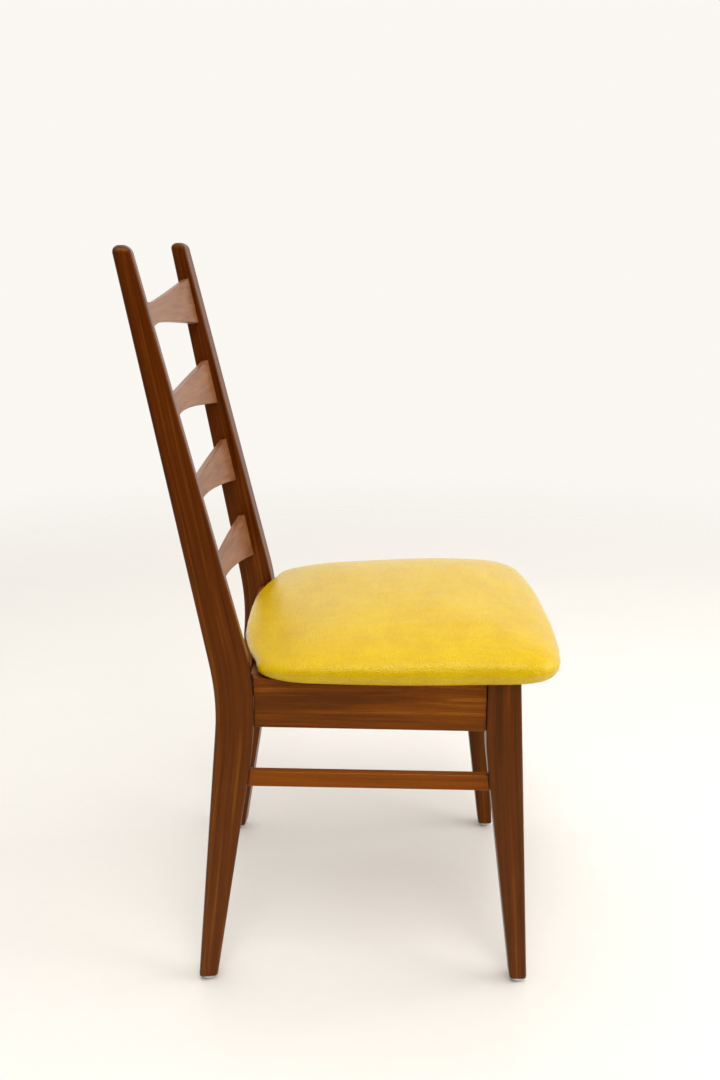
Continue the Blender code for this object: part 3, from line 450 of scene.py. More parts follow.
def faced_out(mesh, weld=False):
    """The same mesh with its faces turned outward, once points that meet are joined."""
    work = work_on(mesh)
    if weld:
        bmesh.ops.remove_doubles(work, verts=work.verts, dist=TINY)
    bmesh.ops.recalc_face_normals(work, faces=work.faces)
    work.to_mesh(mesh)
    work.free()
    return mesh


def skin_rings(name, rings, closed=False):
    """A mesh through rings of equal length, with its two ends capped or joined."""
    rings = np.asarray(rings, float)
    count, around = rings.shape[:2]
    near = np.arange(around)
    far = np.roll(near, -1)
    faces = []
    for i in range(count if closed else count - 1):
        low, high = i * around, (i + 1) % count * around
        faces += np.stack([low + near, low + far, high + far, high + near], 1).tolist()
    if not closed:
        faces += [near[::-1].tolist(), (near + (count - 1) * around).tolist()]
    mesh = bpy.data.meshes.new(name)
    mesh.from_pydata(rings.reshape(-1, 3).tolist(), [], faces)
    return faced_out(mesh)


def points_of(mesh):
    points = np.zeros(len(mesh.vertices) * 3, np.float32)
    mesh.vertices.foreach_get("co", points)
    return points.reshape(-1, 3).astype(float)


def cad_points(node):
    return points_of(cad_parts[node].data)


def set_points(mesh, points):
    mesh.vertices.foreach_set("co", points.astype(np.float32).ravel())
    mesh.update()


def keep(mesh, name, kind, values):
    """Keeps a FLOAT or a FLOAT_VECTOR for each point of a mesh."""
    layer = mesh.attributes.new(name, kind, "POINT")
    field = "value" if kind == "FLOAT" else "vector"
    layer.data.foreach_set(field, np.asarray(values, np.float32).ravel())


def set_grain(mesh, places, axes):
    """Keeps where each point lies in its plank, and how near it is to a rounded edge."""
    keep(mesh, "grain", "FLOAT_VECTOR", places)
    normals = np.array([v.normal for v in mesh.vertices])
    squareness = np.abs(normals @ np.array([tuple(a) for a in axes]).T).max(1)
    keep(mesh, "arris", "FLOAT", np.clip((1 - squareness) * ARRIS_SHARPNESS, 0, 1))


def rounded_section(low, high, radius, steps=5):
    """A rounded rectangle between two corners, as points in order."""
    radius = min(radius, (high[0] - low[0]) / 2.02, (high[1] - low[1]) / 2.02)
    corners = ((high[0], high[1], 0), (low[0], high[1], 1), (low[0], low[1], 2), (high[0], low[1], 3))
    points = []
    for x, y, quarter in corners:
        centre_x = x - math.copysign(radius, x - (low[0] + high[0]) / 2)
        centre_y = y - math.copysign(radius, y - (low[1] + high[1]) / 2)
        for i in range(steps + 1):
            turn = (quarter + i / steps) * QUARTER
            points.append((centre_x + radius * math.cos(turn), centre_y + radius * math.sin(turn)))
    return np.array(points)


def surface_of(mesh):
    """A tree of the mesh's faces, for rays and nearest places."""
    return BVHTree.FromPolygons(
        [v.co.copy() for v in mesh.vertices], [tuple(p.vertices) for p in mesh.polygons]
    )


class Solid:
    """A CAD solid, measured by casting rays at it."""

    def __init__(self, node):
        self.node = node
        self.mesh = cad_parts[node].data
        self.surface = surface_of(self.mesh)

    def cast(self, start, aim):
        """The place where a ray first meets the solid, and the normal there."""
        place, normal = self.surface.ray_cast(Vector(start), Vector(aim))[:2]
        if place is None:
            raise RuntimeError(f"{self.node}: a measuring ray missed it at {tuple(start)}")
        return place, normal


class Stock(Solid):
    """A CAD timber in its own axes: across its thickness, level along it, and world up."""

    def __init__(self, node):
        super().__init__(node)
        totals = {}
        for polygon in self.mesh.polygons:
            if abs(polygon.normal.z) < 0.2:
                key = tuple(round(c, 3) for c in polygon.normal)
                totals[key] = totals.get(key, 0.0) + polygon.area
        across = Vector(max(totals, key=totals.get))
        across.z = 0
        across.normalize()
        if across.x + across.y * 0.01 < 0:
            across.negate()
        self.axes = np.array([across, UP.cross(across), UP])
        local = cad_points(node) @ self.axes.T
        self.low = local.min(0)
        self.high = local.max(0)

    def world(self, points):
        return np.asarray(points, float) @ self.axes

    def hit(self, start, direction):
        """Where a ray from a point in local axes first meets the timber, in local axes."""
        start, direction = self.world([start, direction])
        return np.array(self.cast(start, direction)[0]) @ self.axes.T


# ---------------- timber pieces

POST_STATIONS = 150
CROWN_STATIONS = 12
FOOT_STATIONS = 4
FIRST_STATION = 0.002
LAST_STATION = 0.012
LINE_EASING = 0.010
CROWN_SHARE = 0.92
BESIDE_BORES = 0.29


def eased_line(values, heights, reach):
    """Values smoothed over a distance along heights, with their ends held straight."""
    span = max(1, round(reach / (heights[1] - heights[0])))
    kernel = np.hanning(2 * span + 3)[1:-1]
    kernel /= kernel.sum()
    steps = np.arange(1, span + 1)
    before = values[0] - (values[1] - values[0]) * steps[::-1]
    after = values[-1] + (values[-1] - values[-2]) * steps
    return np.convolve(np.concatenate([before, values, after]), kernel, "valid")


def timber_piece(stock, rings, finish, slot, places_of):
    """The finished timber through rings in its own axes; places_of turns x, y, z into its grain."""
    mesh = skin_rings(stock.node, [stock.world(r) for r in rings])
    set_grain(mesh, np.column_stack(places_of(*np.concatenate(rings).T)), stock.axes)
    piece(stock.node + "_timber", smoothed(mesh), finish, slot, stock.node)


def make_upright(node, crown, wood, seed):
    """A post or leg lofted between the edges measured on its CAD solid."""
    stock = Stock(node)
    bottom, top = stock.low[2], stock.high[2]
    heights = np.linspace(bottom + FIRST_STATION, top - LAST_STATION, POST_STATIONS)
    # The rays pass beside the dowel bores, which open in the middle of the thickness.
    x = (stock.low[0] + stock.high[0]) / 2 + (stock.high[0] - stock.low[0]) * BESIDE_BORES

    def edge_line(way):
        line = np.array([stock.hit((x, -way * FAR_OUT, z), (0, way, 0))[1] for z in heights])
        return eased_line(line, heights, LINE_EASING)

    front, back = edge_line(1), edge_line(-1)

    def edge_at(line, z):
        """An edge's place at a height, run on straight above its last station."""
        slope = (line[-1] - line[-2]) / (heights[-1] - heights[-2])
        return np.interp(z, heights, line) + slope * max(0.0, z - heights[-1])

    def ring(z, inset, radius):
        section = rounded_section(
            (stock.low[0] + inset, edge_at(front, z) + inset),
            (stock.high[0] - inset, edge_at(back, z) - inset), radius,
        )
        return np.column_stack([section, np.full(len(section), z)])

    rings = []
    for turn in np.linspace(0, QUARTER, FOOT_STATIONS + 1):
        inset = wood.foot_radius * (1 - math.sin(turn))
        rings.append(ring(bottom + wood.foot_radius * (1 - math.cos(turn)), inset, wood.arris_radius))
    rings += [ring(z, 0, wood.arris_radius) for z in heights[2:] if z < top - crown]
    for turn in np.linspace(0, QUARTER, CROWN_STATIONS + 1):
        inset = crown * (1 - math.cos(turn)) * CROWN_SHARE
        rings.append(ring(top - crown + crown * math.sin(turn), inset, wood.arris_radius + inset * 0.4))

    def grain(x, y, z):
        middle = (np.interp(z, heights, front) + np.interp(z, heights, back)) / 2
        return x + seed, y - middle * 0.85 + seed * 0.7, z + seed

    timber_piece(stock, rings, "post_teak", "dark_teak", grain)


def end_plane(stock, sign):
    """A bar's end face: where it lies along the bar, and its slopes across and up."""
    inset_x, inset_z = (stock.high - stock.low)[[0, 2]] * (0.15, 0.12)
    x0, x1 = stock.low[0] + inset_x, stock.high[0] - inset_x
    z0, z1 = stock.low[2] + inset_z, stock.high[2] - inset_z
    a, b, c = (
        stock.hit((x, sign * FAR_OUT, z), (0, -sign, 0))[1] for x, z in ((x0, z1), (x1, z1), (x1, z0))
    )
    across = (b - a) / (x1 - x0)
    return (a + c) / 2 - across * (x0 + x1) / 2, across, (b - c) / (z1 - z0)


def make_bar(node, finish, wood, seed):
    """A straight rail or stretcher between the two end faces measured on its CAD solid."""
    stock = Stock(node)
    middle = (stock.low[2] + stock.high[2]) / 2
    radius = wood.rail_edge
    ends = [end_plane(stock, sign) for sign in (-1, 1)]
    # Stations: the share of the length, how far the section shrinks, and a shift along the bar.
    stations = [(0, radius * 0.5, 0), (0, 0, radius * 0.5)]
    stations += [(share, 0, 0) for share in np.linspace(0.02, 0.98, 25)]
    stations += [(1, 0, -radius * 0.5), (1, radius * 0.5, 0)]
    rings = []
    for share, shrink, shift in stations:
        x, z = rounded_section(
            (stock.low[0] + shrink, stock.low[2] + shrink),
            (stock.high[0] - shrink, stock.high[2] - shrink), radius,
        ).T
        first, last = (at + across * x + upward * (z - middle) for at, across, upward in ends)
        rings.append(np.column_stack([x, first * (1 - share) + last * share + shift, z]))
    timber_piece(stock, rings, finish, "rail_teak", lambda x, y, z: (z + seed, x + seed * 0.7, y + seed))


# ---------------- Geometry Nodes


def geometry_tree(name, inputs):
    """A Geometry Nodes tree with named inputs: {name: (socket type, default)}."""
    tree = bpy.data.node_groups.new(name, "GeometryNodeTree")
    tree.interface.new_socket("Geometry", in_out="INPUT", socket_type="NodeSocketGeometry")
    for label, (kind, default) in inputs.items():
        socket = tree.interface.new_socket(label, in_out="INPUT", socket_type=kind)
        if default is not None:
            socket.default_value = default
    tree.interface.new_socket("Geometry", in_out="OUTPUT", socket_type="NodeSocketGeometry")
    graph = Graph(tree)
    entry = tree.nodes.new("NodeGroupInput")
    given = {socket.name: Wire(graph, socket) for socket in entry.outputs if socket.name}
    return graph, given


def close_tree(graph, geometry, finish):
    """Ends a tree in Realize Instances and Set Material."""
    real = graph.node("GeometryNodeRealizeInstances", {0: geometry})
    painted = graph.node("GeometryNodeSetMaterial", {"Geometry": real, "Material": finish})
    exit_node = graph.tree.nodes.new("NodeGroupOutput")
    graph.tree.links.new(painted.socket, exit_node.inputs[0])
    return graph.tree


def grown(name, tree, values, base=None):
    """The plain mesh that a tree makes of a base mesh with these input values."""
    holder = placed(name, base or bpy.data.meshes.new(name))
    growth = with_settings(holder.modifiers.new(tree.name, "NODES"), node_group=tree)
    for item in tree.interface.items_tree:
        if item.in_out == "INPUT" and item.name in values:
            growth[item.identifier] = values[item.name]
    mesh = evaluated(holder)
    bpy.data.objects.remove(holder)
    mesh.name = name
    return mesh


def slat_tree(finish):
    """A bowed slat with a waist: X across the chair, Y back, Z up the slat."""
    sizes = {
        "Half Span": 0.17, "Waist Height": 0.027, "End Height": 0.066, "Waist Power": 1.7, "Bow": 0.021,
        "Thickness": 0.010, "Edge Radius": 0.002, "End Skew": 0.1, "Grain Seed": 0.0,
    }
    inputs = {label: ("NodeSocketFloat", default) for label, default in sizes.items()}
    graph, given = geometry_tree("bowed_slat", {**inputs, "Stations": ("NodeSocketInt", 72)})
    half = given["Half Span"]
    path = graph.node("GeometryNodeCurvePrimitiveLine", {
        "Start": graph.joined(-half, 0.0, 0.0), "End": graph.joined(half, 0.0, 0.0),
    })
    path = graph.node("GeometryNodeResampleCurve", {"Curve": path, "Count": given["Stations"]})
    section = graph.node("GeometryNodeCurvePrimitiveQuadrilateral", {
        "Width": given["Thickness"], "Height": given["Waist Height"],
    })
    section = graph.node(
        "GeometryNodeFilletCurve", {"Curve": section, "Radius": given["Edge Radius"], "Count": 5},
        {"mode": "POLY"},
    )
    bar = graph.node("GeometryNodeCurveToMesh", {"Curve": path, "Profile Curve": section, "Fill Caps": True})
    x, y, z = graph.split(graph.node("GeometryNodeInputPosition"))
    share = (abs(x) / half).clipped()
    growth = share ** given["Waist Power"] * (given["End Height"] - given["Waist Height"]) * 0.5
    tall = z + z.maths("SIGN") * growth
    bowed = y + given["Bow"] * (1 - share * share)
    skewed = x + x.maths("SIGN") * share * bowed * given["End Skew"]
    shaped = graph.node("GeometryNodeSetPosition", {
        "Geometry": bar, "Position": graph.joined(skewed, bowed, tall),
    })
    seed = given["Grain Seed"]
    along = graph.node("GeometryNodeStoreNamedAttribute", {
        "Geometry": shaped, "Name": "grain", "Value": graph.joined(z + seed, y + seed, x + seed),
    }, {"data_type": "FLOAT_VECTOR"})
    return close_tree(graph, along, finish)


def scatter_tree(name, inputs):
    """A tree that sets a fitting on points, with inputs for it and for its turn by chance."""
    return geometry_tree(name, {
        "Fitting": ("NodeSocketObject", None),
        "Turn Spread": ("NodeSocketFloat", 0.0),
        "Seed": ("NodeSocketInt", 1),
        **inputs,
    })


def scattered(graph, given, points, facing, space, finish):
    """Ends a tree with its fitting on every point, turned a little by chance about Z."""
    spread = given["Turn Spread"]
    turn = graph.node(
        "FunctionNodeRandomValue", {2: -spread, 3: spread, "Seed": given["Seed"]}, {"data_type": "FLOAT"}, 1
    )
    spun = graph.node(
        "FunctionNodeRotateRotation", {"Rotation": facing, "Rotate By": graph.joined(0.0, 0.0, turn)},
        {"rotation_space": space},
    )
    shape = graph.node("GeometryNodeObjectInfo", {"Object": given["Fitting"]}, output="Geometry")
    copies = graph.node("GeometryNodeInstanceOnPoints", {
        "Points": points, "Instance": shape, "Rotation": spun,
    })
    return close_tree(graph, copies, finish)


def marks_tree(name, finish):
    """A small fitting set on each mark, its own Z turned to the mark's aim."""
    graph, given = scatter_tree(name, {})
    aim = graph.node("GeometryNodeInputNamedAttribute", {"Name": "aim"}, {"data_type": "FLOAT_VECTOR"})
    facing = graph.node("FunctionNodeAlignRotationToVector", {"Vector": aim}, {"axis": "Z"})
    return scattered(graph, given, given["Geometry"], facing, "LOCAL", finish)


def hem_tree(name, finish):
    """Staples along a closed path at an even pitch, lying along it with a little wander."""
    graph, given = scatter_tree(name, {"Pitch": ("NodeSocketFloat", 0.026)})
    path = graph.node("GeometryNodeMeshToCurve", {"Mesh": given["Geometry"]})
    marks = graph.node(
        "GeometryNodeCurveToPoints", {"Curve": path, "Length": given["Pitch"]}, {"mode": "LENGTH"}
    )
    tangent = Wire(graph, marks.socket.node.outputs["Tangent"])
    along = graph.node("FunctionNodeAlignRotationToVector", {"Vector": tangent}, {"axis": "X"})
    return scattered(graph, given, marks, along, "GLOBAL", finish)


def repeated(name, tree, fitting_mesh, values, base):
    """One mesh of a fitting repeated over a base mesh, as a tree says."""
    fitting = placed(name + "_fitting", fitting_mesh)
    mesh = grown(name, tree, {"Fitting": fitting, **values}, base)
    bpy.data.objects.remove(fitting)
    return mesh


def set_on_marks(name, fitting_mesh, finish, places, aims, spread=0.0):
    """One mesh of a fitting repeated at each mark."""
    marks = bpy.data.meshes.new(name)
    marks.from_pydata([tuple(p) for p in places], [], [])
    keep(marks, "aim", "FLOAT_VECTOR", [tuple(a) for a in aims])
    return repeated(name, marks_tree(name, material(finish)), fitting_mesh, {"Turn Spread": spread}, marks)


# ---------------- slats

SLAT_STATIONS = 72
CLEAR_OF_POST = 0.020
SHOULDER_PROBE = 0.0285


def measure_slat(node):
    """A slat's own frame and sizes, from rays cast at its CAD solid."""
    solid = Solid(node)
    low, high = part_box(node)
    rear, facing = solid.cast((0.0, high.y + FAR_OUT, (low.z + high.z) / 2), (0, -1, 0))
    lean = math.atan2(-facing.z, facing.y)
    up = Vector((0, math.sin(lean), math.cos(lean)))
    back = Vector((0, math.cos(lean), -math.sin(lean)))
    front = solid.cast(rear - back * FAR_OUT, back)[0]
    thickness = (rear - front).length

    def through(x, centre, way):
        """The slat's size along a way through a point, and the middle of that stretch."""
        here = Vector((x, centre.y, centre.z))
        ends = [solid.cast(here + way * FAR_OUT, -way)[0], solid.cast(here - way * FAR_OUT, way)[0]]
        return (ends[0] - ends[1]).length, (ends[0] + ends[1]) / 2

    waist, heart = through(0.0, (rear + front) / 2, up)
    near_end = max(abs(low.x), abs(high.x)) - CLEAR_OF_POST
    end_middle = through(near_end, heart, back)[1]
    shoulder = []
    for step in (-0.3, 0.3):
        probe = end_middle + up * SHOULDER_PROBE + back * thickness * step
        shoulder.append(solid.cast((FAR_OUT, probe.y, probe.z), (-1, 0, 0))[0])
    skew = (shoulder[1].x - shoulder[0].x) / (shoulder[1] - shoulder[0]).dot(back)
    span = (shoulder[0].x + shoulder[1].x) / 2
    share = near_end / span
    bow = (heart - end_middle).dot(back) / share**2
    quarter_height = through(span / 2, through(span / 2, heart, back)[1], up)[0]
    near_height = through(near_end, end_middle, up)[0]
    power = math.log((near_height - waist) / (quarter_height - waist)) / math.log(share / 0.5)
    return {
        "origin": heart - back * bow, "up": up, "back": back, "Half Span": span,
        "Waist Height": waist, "End Height": waist + (near_height - waist) / share**power,
        "Waist Power": power, "Bow": bow, "Thickness": thickness, "End Skew": skew,
    }


def make_slat(node, wood, seed):
    sizes = measure_slat(node)
    values = {key: value for key, value in sizes.items() if key[0].isupper()}
    values.update({"Edge Radius": wood.slat_edge, "Stations": SLAT_STATIONS, "Grain Seed": seed})
    mesh = grown(node, slat_tree(material("slat_teak")), values)
    axes = (Vector((1, 0, 0)), sizes["back"], sizes["up"])
    mesh.transform(Matrix.Translation(sizes["origin"]) @ Matrix(axes).transposed().to_4x4())
    faced_out(mesh, weld=True)
    places = np.zeros(len(mesh.vertices) * 3, np.float32)
    mesh.attributes["grain"].data.foreach_get("vector", places)
    mesh.attributes.remove(mesh.attributes["grain"])
    set_grain(mesh, places, axes)
    piece(node + "_timber", smoothed(mesh), "slat_teak", "slat_teak", node)


# ---------------- fittings

GLIDE_GAP = 0.0002
GLIDE_SIDES = 48
SCREW_SIDES = 28
SCREW_HEAD = 0.0026
SCREW_TURN = 0.8
STAPLE_WIDTH = 0.0095
STAPLE_WIRE = 0.0007
STAPLE_LEG = 0.004


def turned_mesh(name, profile, steps):
    """A solid turned about Z from (radius, height) points that start and end on the axis."""
    work = bmesh.new()
    verts = [work.verts.new((r, 0, z)) for r, z in profile]
    edges = [work.edges.new(pair) for pair in zip(verts, verts[1:])]
    bmesh.ops.spin(
        work, geom=verts + edges, axis=(0, 0, 1), cent=(0, 0, 0), steps=steps, angle=2 * math.pi
    )
    mesh = faced_out(mesh_from(work, name), weld=True)
    mesh.shade_smooth()
    return mesh


def long_axis(node):
    """The middle of a turned CAD node's wide end, the way there, its length and its radius."""
    points = cad_points(node)
    centre = points.mean(0)
    axis = np.linalg.svd(points - centre)[2][0]
    reach = (points - centre) @ axis
    off_axis = np.linalg.norm(points - centre - np.outer(reach, axis), axis=1)
    widest = reach[off_axis.argmax()]
    if abs(widest - reach.max()) > abs(widest - reach.min()):
        axis, reach = -axis, -reach
    return Vector(centre + axis * reach.max()), Vector(axis), reach.max() - reach.min(), off_axis.max()


def arc(centre, reach, start, count):
    """A quarter arc or less, from a turn off straight up round to level, as (radius, height)."""
    return [
        (centre[0] + reach[0] * math.sin(t), centre[1] + reach[1] * math.cos(t))
        for t in np.linspace(start, QUARTER, count)
    ]


def glide_profiles(radius, height):
    """Sections of a glide's metal cup and of the pad that it holds, as (radius, height)."""
    lip = radius * 0.09
    cup = [(0, height), (radius - lip, height)]
    cup += arc((radius - lip, height - lip), (lip, lip), 0.2, 5)
    cup += [(radius, height * 0.55), (radius * 0.985, height * 0.42), (radius * 0.93, height * 0.33)]
    cup += [(radius * 0.86, height * 0.33), (radius * 0.84, height * 0.45), (0, height * 0.45)]
    pad = [(0, height * 0.5), (radius * 0.82, height * 0.5), (radius * 0.83, height * 0.2)]
    pad += [
        (radius * (0.70 + 0.13 * math.cos(t)), height * (0.2 - 0.2 * math.sin(t)))
        for t in np.linspace(0.3, QUARTER, 6)
    ]
    return cup, pad + [(0, 0)]


def screw_head_mesh(name, radius, height, shank, length_below):
    """A pan-headed wood screw with a cross recess; its head's top is at Z 0."""
    profile = [(0, -height * 0.12)]
    profile += arc((0, -height * 0.55), (radius, height * 0.55), 0.35, 7)
    profile += [(radius, -height * 0.9), (radius * 0.94, -height), (shank, -height)]
    profile += [(shank, -length_below * 0.8), (0, -length_below)]
    work = work_on(turned_mesh(name, profile, SCREW_SIDES))
    bmesh.ops.subdivide_edges(
        work, edges=[e for e in work.edges if max(v.co.z for v in e.verts) > -height * 0.6],
        cuts=2, use_grid_fill=True,
    )
    for vert in work.verts:
        near, far = sorted((abs(vert.co.x), abs(vert.co.y)))
        if near < radius * 0.16 and far < radius * 0.62 and vert.co.z > -height * 0.7:
            vert.co.z -= height * 0.55
    return faced_out(mesh_from(work, name))


def staple_mesh(name, width, wire, leg):
    """A staple lying along X: a flattened crown on two short legs that go up into the wood."""
    crown = -wire * 0.09
    half = [(width / 2 - wire, crown), (width / 2, wire), (width / 2, leg)]
    path = [(-x, z) for x, z in half[::-1]] + half
    rings = []
    for i, (x, z) in enumerate(path):
        before, after = path[max(i - 1, 0)], path[min(i + 1, len(path) - 1)]
        run = Vector((after[0] - before[0], after[1] - before[1])).normalized() * wire / 2
        corners = ((1, 1), (1, -1), (-1, -1), (-1, 1))
        rings.append([(x - out * run.y, side * wire / 2, z + out * run.x) for out, side in corners])
    return skin_rings(name, rings)


# ---------------- seat pad

# The skin is simulated a little under size, held at its underside, then drawn back to the CAD form.
HELD_DEPTH = 0.004
HELD_FADE = 0.014
SHRINK = 0.0035
FRAMES = 20
FORM_ROUNDS = 3
EASING_ROUNDS = 3

# How the stuffing has settled, and between which places each change grows.
RIM_LEVEL = 0.013
RIM_FADE = 0.015
REAR_SINK = 0.0050
REAR_Y = (0.025, 0.110)
SIDE_SINK = 0.0060
SIDE_X = (0.06, 0.17)
FRONT_SINK = 0.0050
FRONT_Y = (-0.24, -0.14)
FULLEST_LIFT = 0.0036
FULLEST_AT = -0.095
FULLEST_SPREAD = 0.090
CORNER_PULL = 0.0080
CORNER_X = (0.165, 0.195)
CORNER_FROM_REAR = (-0.068, -0.038)
FRONT_PULL = 0.0025
PULL_FROM_FRONT = (0.005, 0.045)
ROLL_WIDTH = 0.0125
ROLL_DEPTH = 0.0036
ROLL_FROM_REAR = (-0.075, -0.045)
TUCK_DEPTH = 0.0028
TUCK_INSET = (0.004, 0.008)

# Each crease's waves in a metre along X and Y, its place in the noise and its height.
CREASES = ((7, 11, 2.0, 0.0005), (30, 45, 5.0, 0.00008))
CREASED_ABOVE = 0.35

# The fold of skin under the board, as (share of its width, height) from its outer edge and back.
HEM_SECTION = (
    (0, 0.0002), (0.25, 0), (0.6, 0), (0.94, 0), (1.0, 0.0003),
    (1.0, 0.0009), (0.94, 0.0012), (0.5, 0.0012), (0.0, 0.0006),
)
HEM_SETBACK = 0.001
HEM_RAGGED = 0.0012
HEM_LEAST_WIDTH = 0.012
STAPLE_LINE = 0.35
TURNS = np.linspace(-math.pi, math.pi, 240, endpoint=False) + 1e-4


def ramp(values, start, end):
    """0 at the start, 1 at the end, and held outside."""
    return np.clip((values - start) / (end - start), 0, 1)


def pad_solid(name, node):
    """The closed outer form of the seat: the hull of the CAD cover."""
    work = work_on(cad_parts[node].data)
    bmesh.ops.remove_doubles(work, verts=work.verts, dist=TINY)
    hull = bmesh.ops.convex_hull(work, input=work.verts)
    unused = [e for e in hull["geom_interior"] if isinstance(e, bmesh.types.BMVert)]
    bmesh.ops.delete(work, geom=unused, context="VERTS")
    kept = set(hull["geom"])
    bmesh.ops.delete(work, geom=[f for f in work.faces if f not in kept], context="FACES_ONLY")
    return faced_out(mesh_from(work, name))


def applied(holder):
    """The object's mesh as its modifiers leave it; the modifiers are then removed."""
    mesh = evaluated(holder)
    holder.modifiers.clear()
    holder.data = mesh
    return mesh


def eased_over(mesh, moves, rounds):
    """Moves of a mesh's points, each averaged with its neighbours' this many times."""
    ends = np.zeros(len(mesh.edges) * 2, np.int32)
    mesh.edges.foreach_get("vertices", ends)
    first, second = ends.reshape(-1, 2).T
    count = len(moves)
    neighbours = np.bincount(first, minlength=count) + np.bincount(second, minlength=count)
    for _ in range(rounds):
        total = np.zeros_like(moves)
        for here, there in ((first, second), (second, first)):
            for axis in range(3):
                total[:, axis] += np.bincount(here, moves[there, axis], count)
        moves = (moves + total / neighbours[:, None]) / 2
    return moves


def stuff(holder, start, seat, low):
    """Lets pressure push the skin out, held fast at its underside, and returns the eased moves."""
    held = holder.vertex_groups.new(name="held")
    grip = 1 - ramp(start[:, 2], low + HELD_DEPTH, low + HELD_DEPTH + HELD_FADE)
    for i in np.flatnonzero(grip):
        held.add([int(i)], float(grip[i]), "REPLACE")
    cloth = holder.modifiers.new("stuffing", "CLOTH")
    with_settings(
        cloth.settings, use_pressure=True, uniform_pressure_force=seat.pressure, vertex_group_mass="held",
        quality=5, mass=0.3, tension_stiffness=15, compression_stiffness=15, bending_stiffness=0.5,
    )
    cloth.settings.effector_weights.gravity = 0
    cloth.collision_settings.use_collision = False
    scene = bpy.context.scene
    for step in range(1, FRAMES + 1):
        scene.frame_set(step)
    graph = bpy.context.evaluated_depsgraph_get()
    move = points_of(holder.evaluated_get(graph).to_mesh()) - start
    holder.modifiers.clear()
    scene.frame_set(1)
    reach = np.linalg.norm(move, axis=1)
    move *= (np.minimum(1, seat.travel / np.maximum(reach, 1e-9)) * (1 - grip))[:, None]
    return eased_over(holder.data, move, seat.tautness)


def gaps_to(form, points):
    """The way from each point to the nearest place on a form."""
    return np.array([tuple(form.find_nearest(Vector(p))[0]) for p in points]) - points


def gentle_creases(points, low, high):
    """Shallow, soft unevenness on the top of the pad, along Z."""
    lift = np.zeros(len(points))
    for i, (x, y, z) in enumerate(points):
        share = (z - low) / (high - low)
        if share > CREASED_ABOVE:
            waves = sum(h * noise.noise(Vector((x * a, y * b, seed))) for a, b, seed, h in CREASES)
            lift[i] = min(1, (share - CREASED_ABOVE) * 3) * waves
    return lift


def settled(points, low, high):
    """How the stuffing has settled, along Z: lower at the rear, and fullest before the middle."""
    x, y, z = points.T
    lift = ramp(z, low.z + RIM_LEVEL, high.z)
    rear = ramp(y, *REAR_Y)
    side = ramp(abs(x), *SIDE_X)
    front = 1 - ramp(y, *FRONT_Y)
    fullest = np.exp(-(((y - FULLEST_AT) / FULLEST_SPREAD) ** 2))
    sunk = rear * rear * (3 - 2 * rear) * (REAR_SINK + SIDE_SINK * side) + front * side * FRONT_SINK
    return lift * (FULLEST_LIFT * fullest - sunk)


def pulled_corners(points, low, high):
    """How far the rim reaches back at its rear corners and forward at its front, along Y."""
    x, y, z = points.T
    below = 1 - ramp(z, low.z + RIM_LEVEL, low.z + RIM_LEVEL + RIM_FADE)
    corner = ramp(abs(x), *CORNER_X) * ramp(y - high.y, *CORNER_FROM_REAR)
    forward = 1 - ramp(y - low.y, *PULL_FROM_FRONT)
    return below * (CORNER_PULL * corner - FRONT_PULL * forward)


def inset_from(ring, centre, points):
    """How far inside a ring about a centre each point lies, on its way to the centre."""
    ways = ring - centre
    turns = np.arctan2(ways[:, 1], ways[:, 0])
    order = np.argsort(turns)
    reaches = np.linalg.norm(ways, axis=1)
    offset = points[:, :2] - centre
    turn = np.arctan2(offset[:, 1], offset[:, 0])
    limit = np.interp(turn, turns[order], reaches[order], period=2 * math.pi)
    return limit - np.linalg.norm(offset, axis=1)


def ring_of(flat, centre):
    """Places on the hull of flat points, one in each of the even turns about a centre."""
    outline = flat[convex_hull_2d([Vector(p) for p in flat])]
    edges = np.roll(outline, -1, axis=0) - outline
    offset = outline - centre
    ring = []
    for turn in TURNS:
        aim = np.array([math.cos(turn), math.sin(turn)])
        cross = aim[0] * edges[:, 1] - aim[1] * edges[:, 0]
        reach = (offset[:, 0] * edges[:, 1] - offset[:, 1] * edges[:, 0]) / cross
        share = (offset[:, 0] * aim[1] - offset[:, 1] * aim[0]) / cross
        ring.append(centre + aim * reach[(reach > 0) & (share > -TINY) & (share < 1 + TINY)].max())
    return np.array(ring)


def rolled_rim(points, low, high):
    """How far the rim rolls down beyond the rails, clear of the posts, along Z."""
    cover = cad_points("seat_cover")
    centre = np.array([0.0, (low.y + high.y) / 2])
    ring = ring_of(cover[cover[:, 2] < low.z + 2 * RIM_LEVEL][:, :2], centre)
    inset = np.clip(inset_from(ring, centre, points) / ROLL_WIDTH, 0, 1)
    under = 1 - ramp(points[:, 2], low.z, low.z + RIM_LEVEL)
    clear = 1 - ramp(points[:, 1] - high.y, *ROLL_FROM_REAR)
    return -ROLL_DEPTH * np.sin(math.pi * inset) * under * clear


def under_edge(node="seat_cover"):
    """The inner and outer outline of the seat's underside, as rings of (x, y)."""
    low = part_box(node)[0].z
    points = cad_points(node)
    flat = np.unique(np.round(points[points[:, 2] < low + 0.0001][:, :2], 6), axis=0)
    centre = (flat.min(0) + flat.max(0)) / 2
    outer = ring_of(flat, centre)
    gaps = np.linalg.norm(flat[:, None] - outer[None], axis=2).min(1)
    return ring_of(flat[gaps > HEM_LEAST_WIDTH], centre), outer


def tucked_in(points, low):
    """The points, with the middle of the underside raised into the board, inside the hem."""
    outer = under_edge()[1]
    share = ramp(inset_from(outer, outer.mean(0), points), *TUCK_INSET)
    beneath = (points[:, 2] < low + 0.0015) & (share > 0)
    points[beneath, 2] = low + TUCK_DEPTH * share[beneath]
    return points


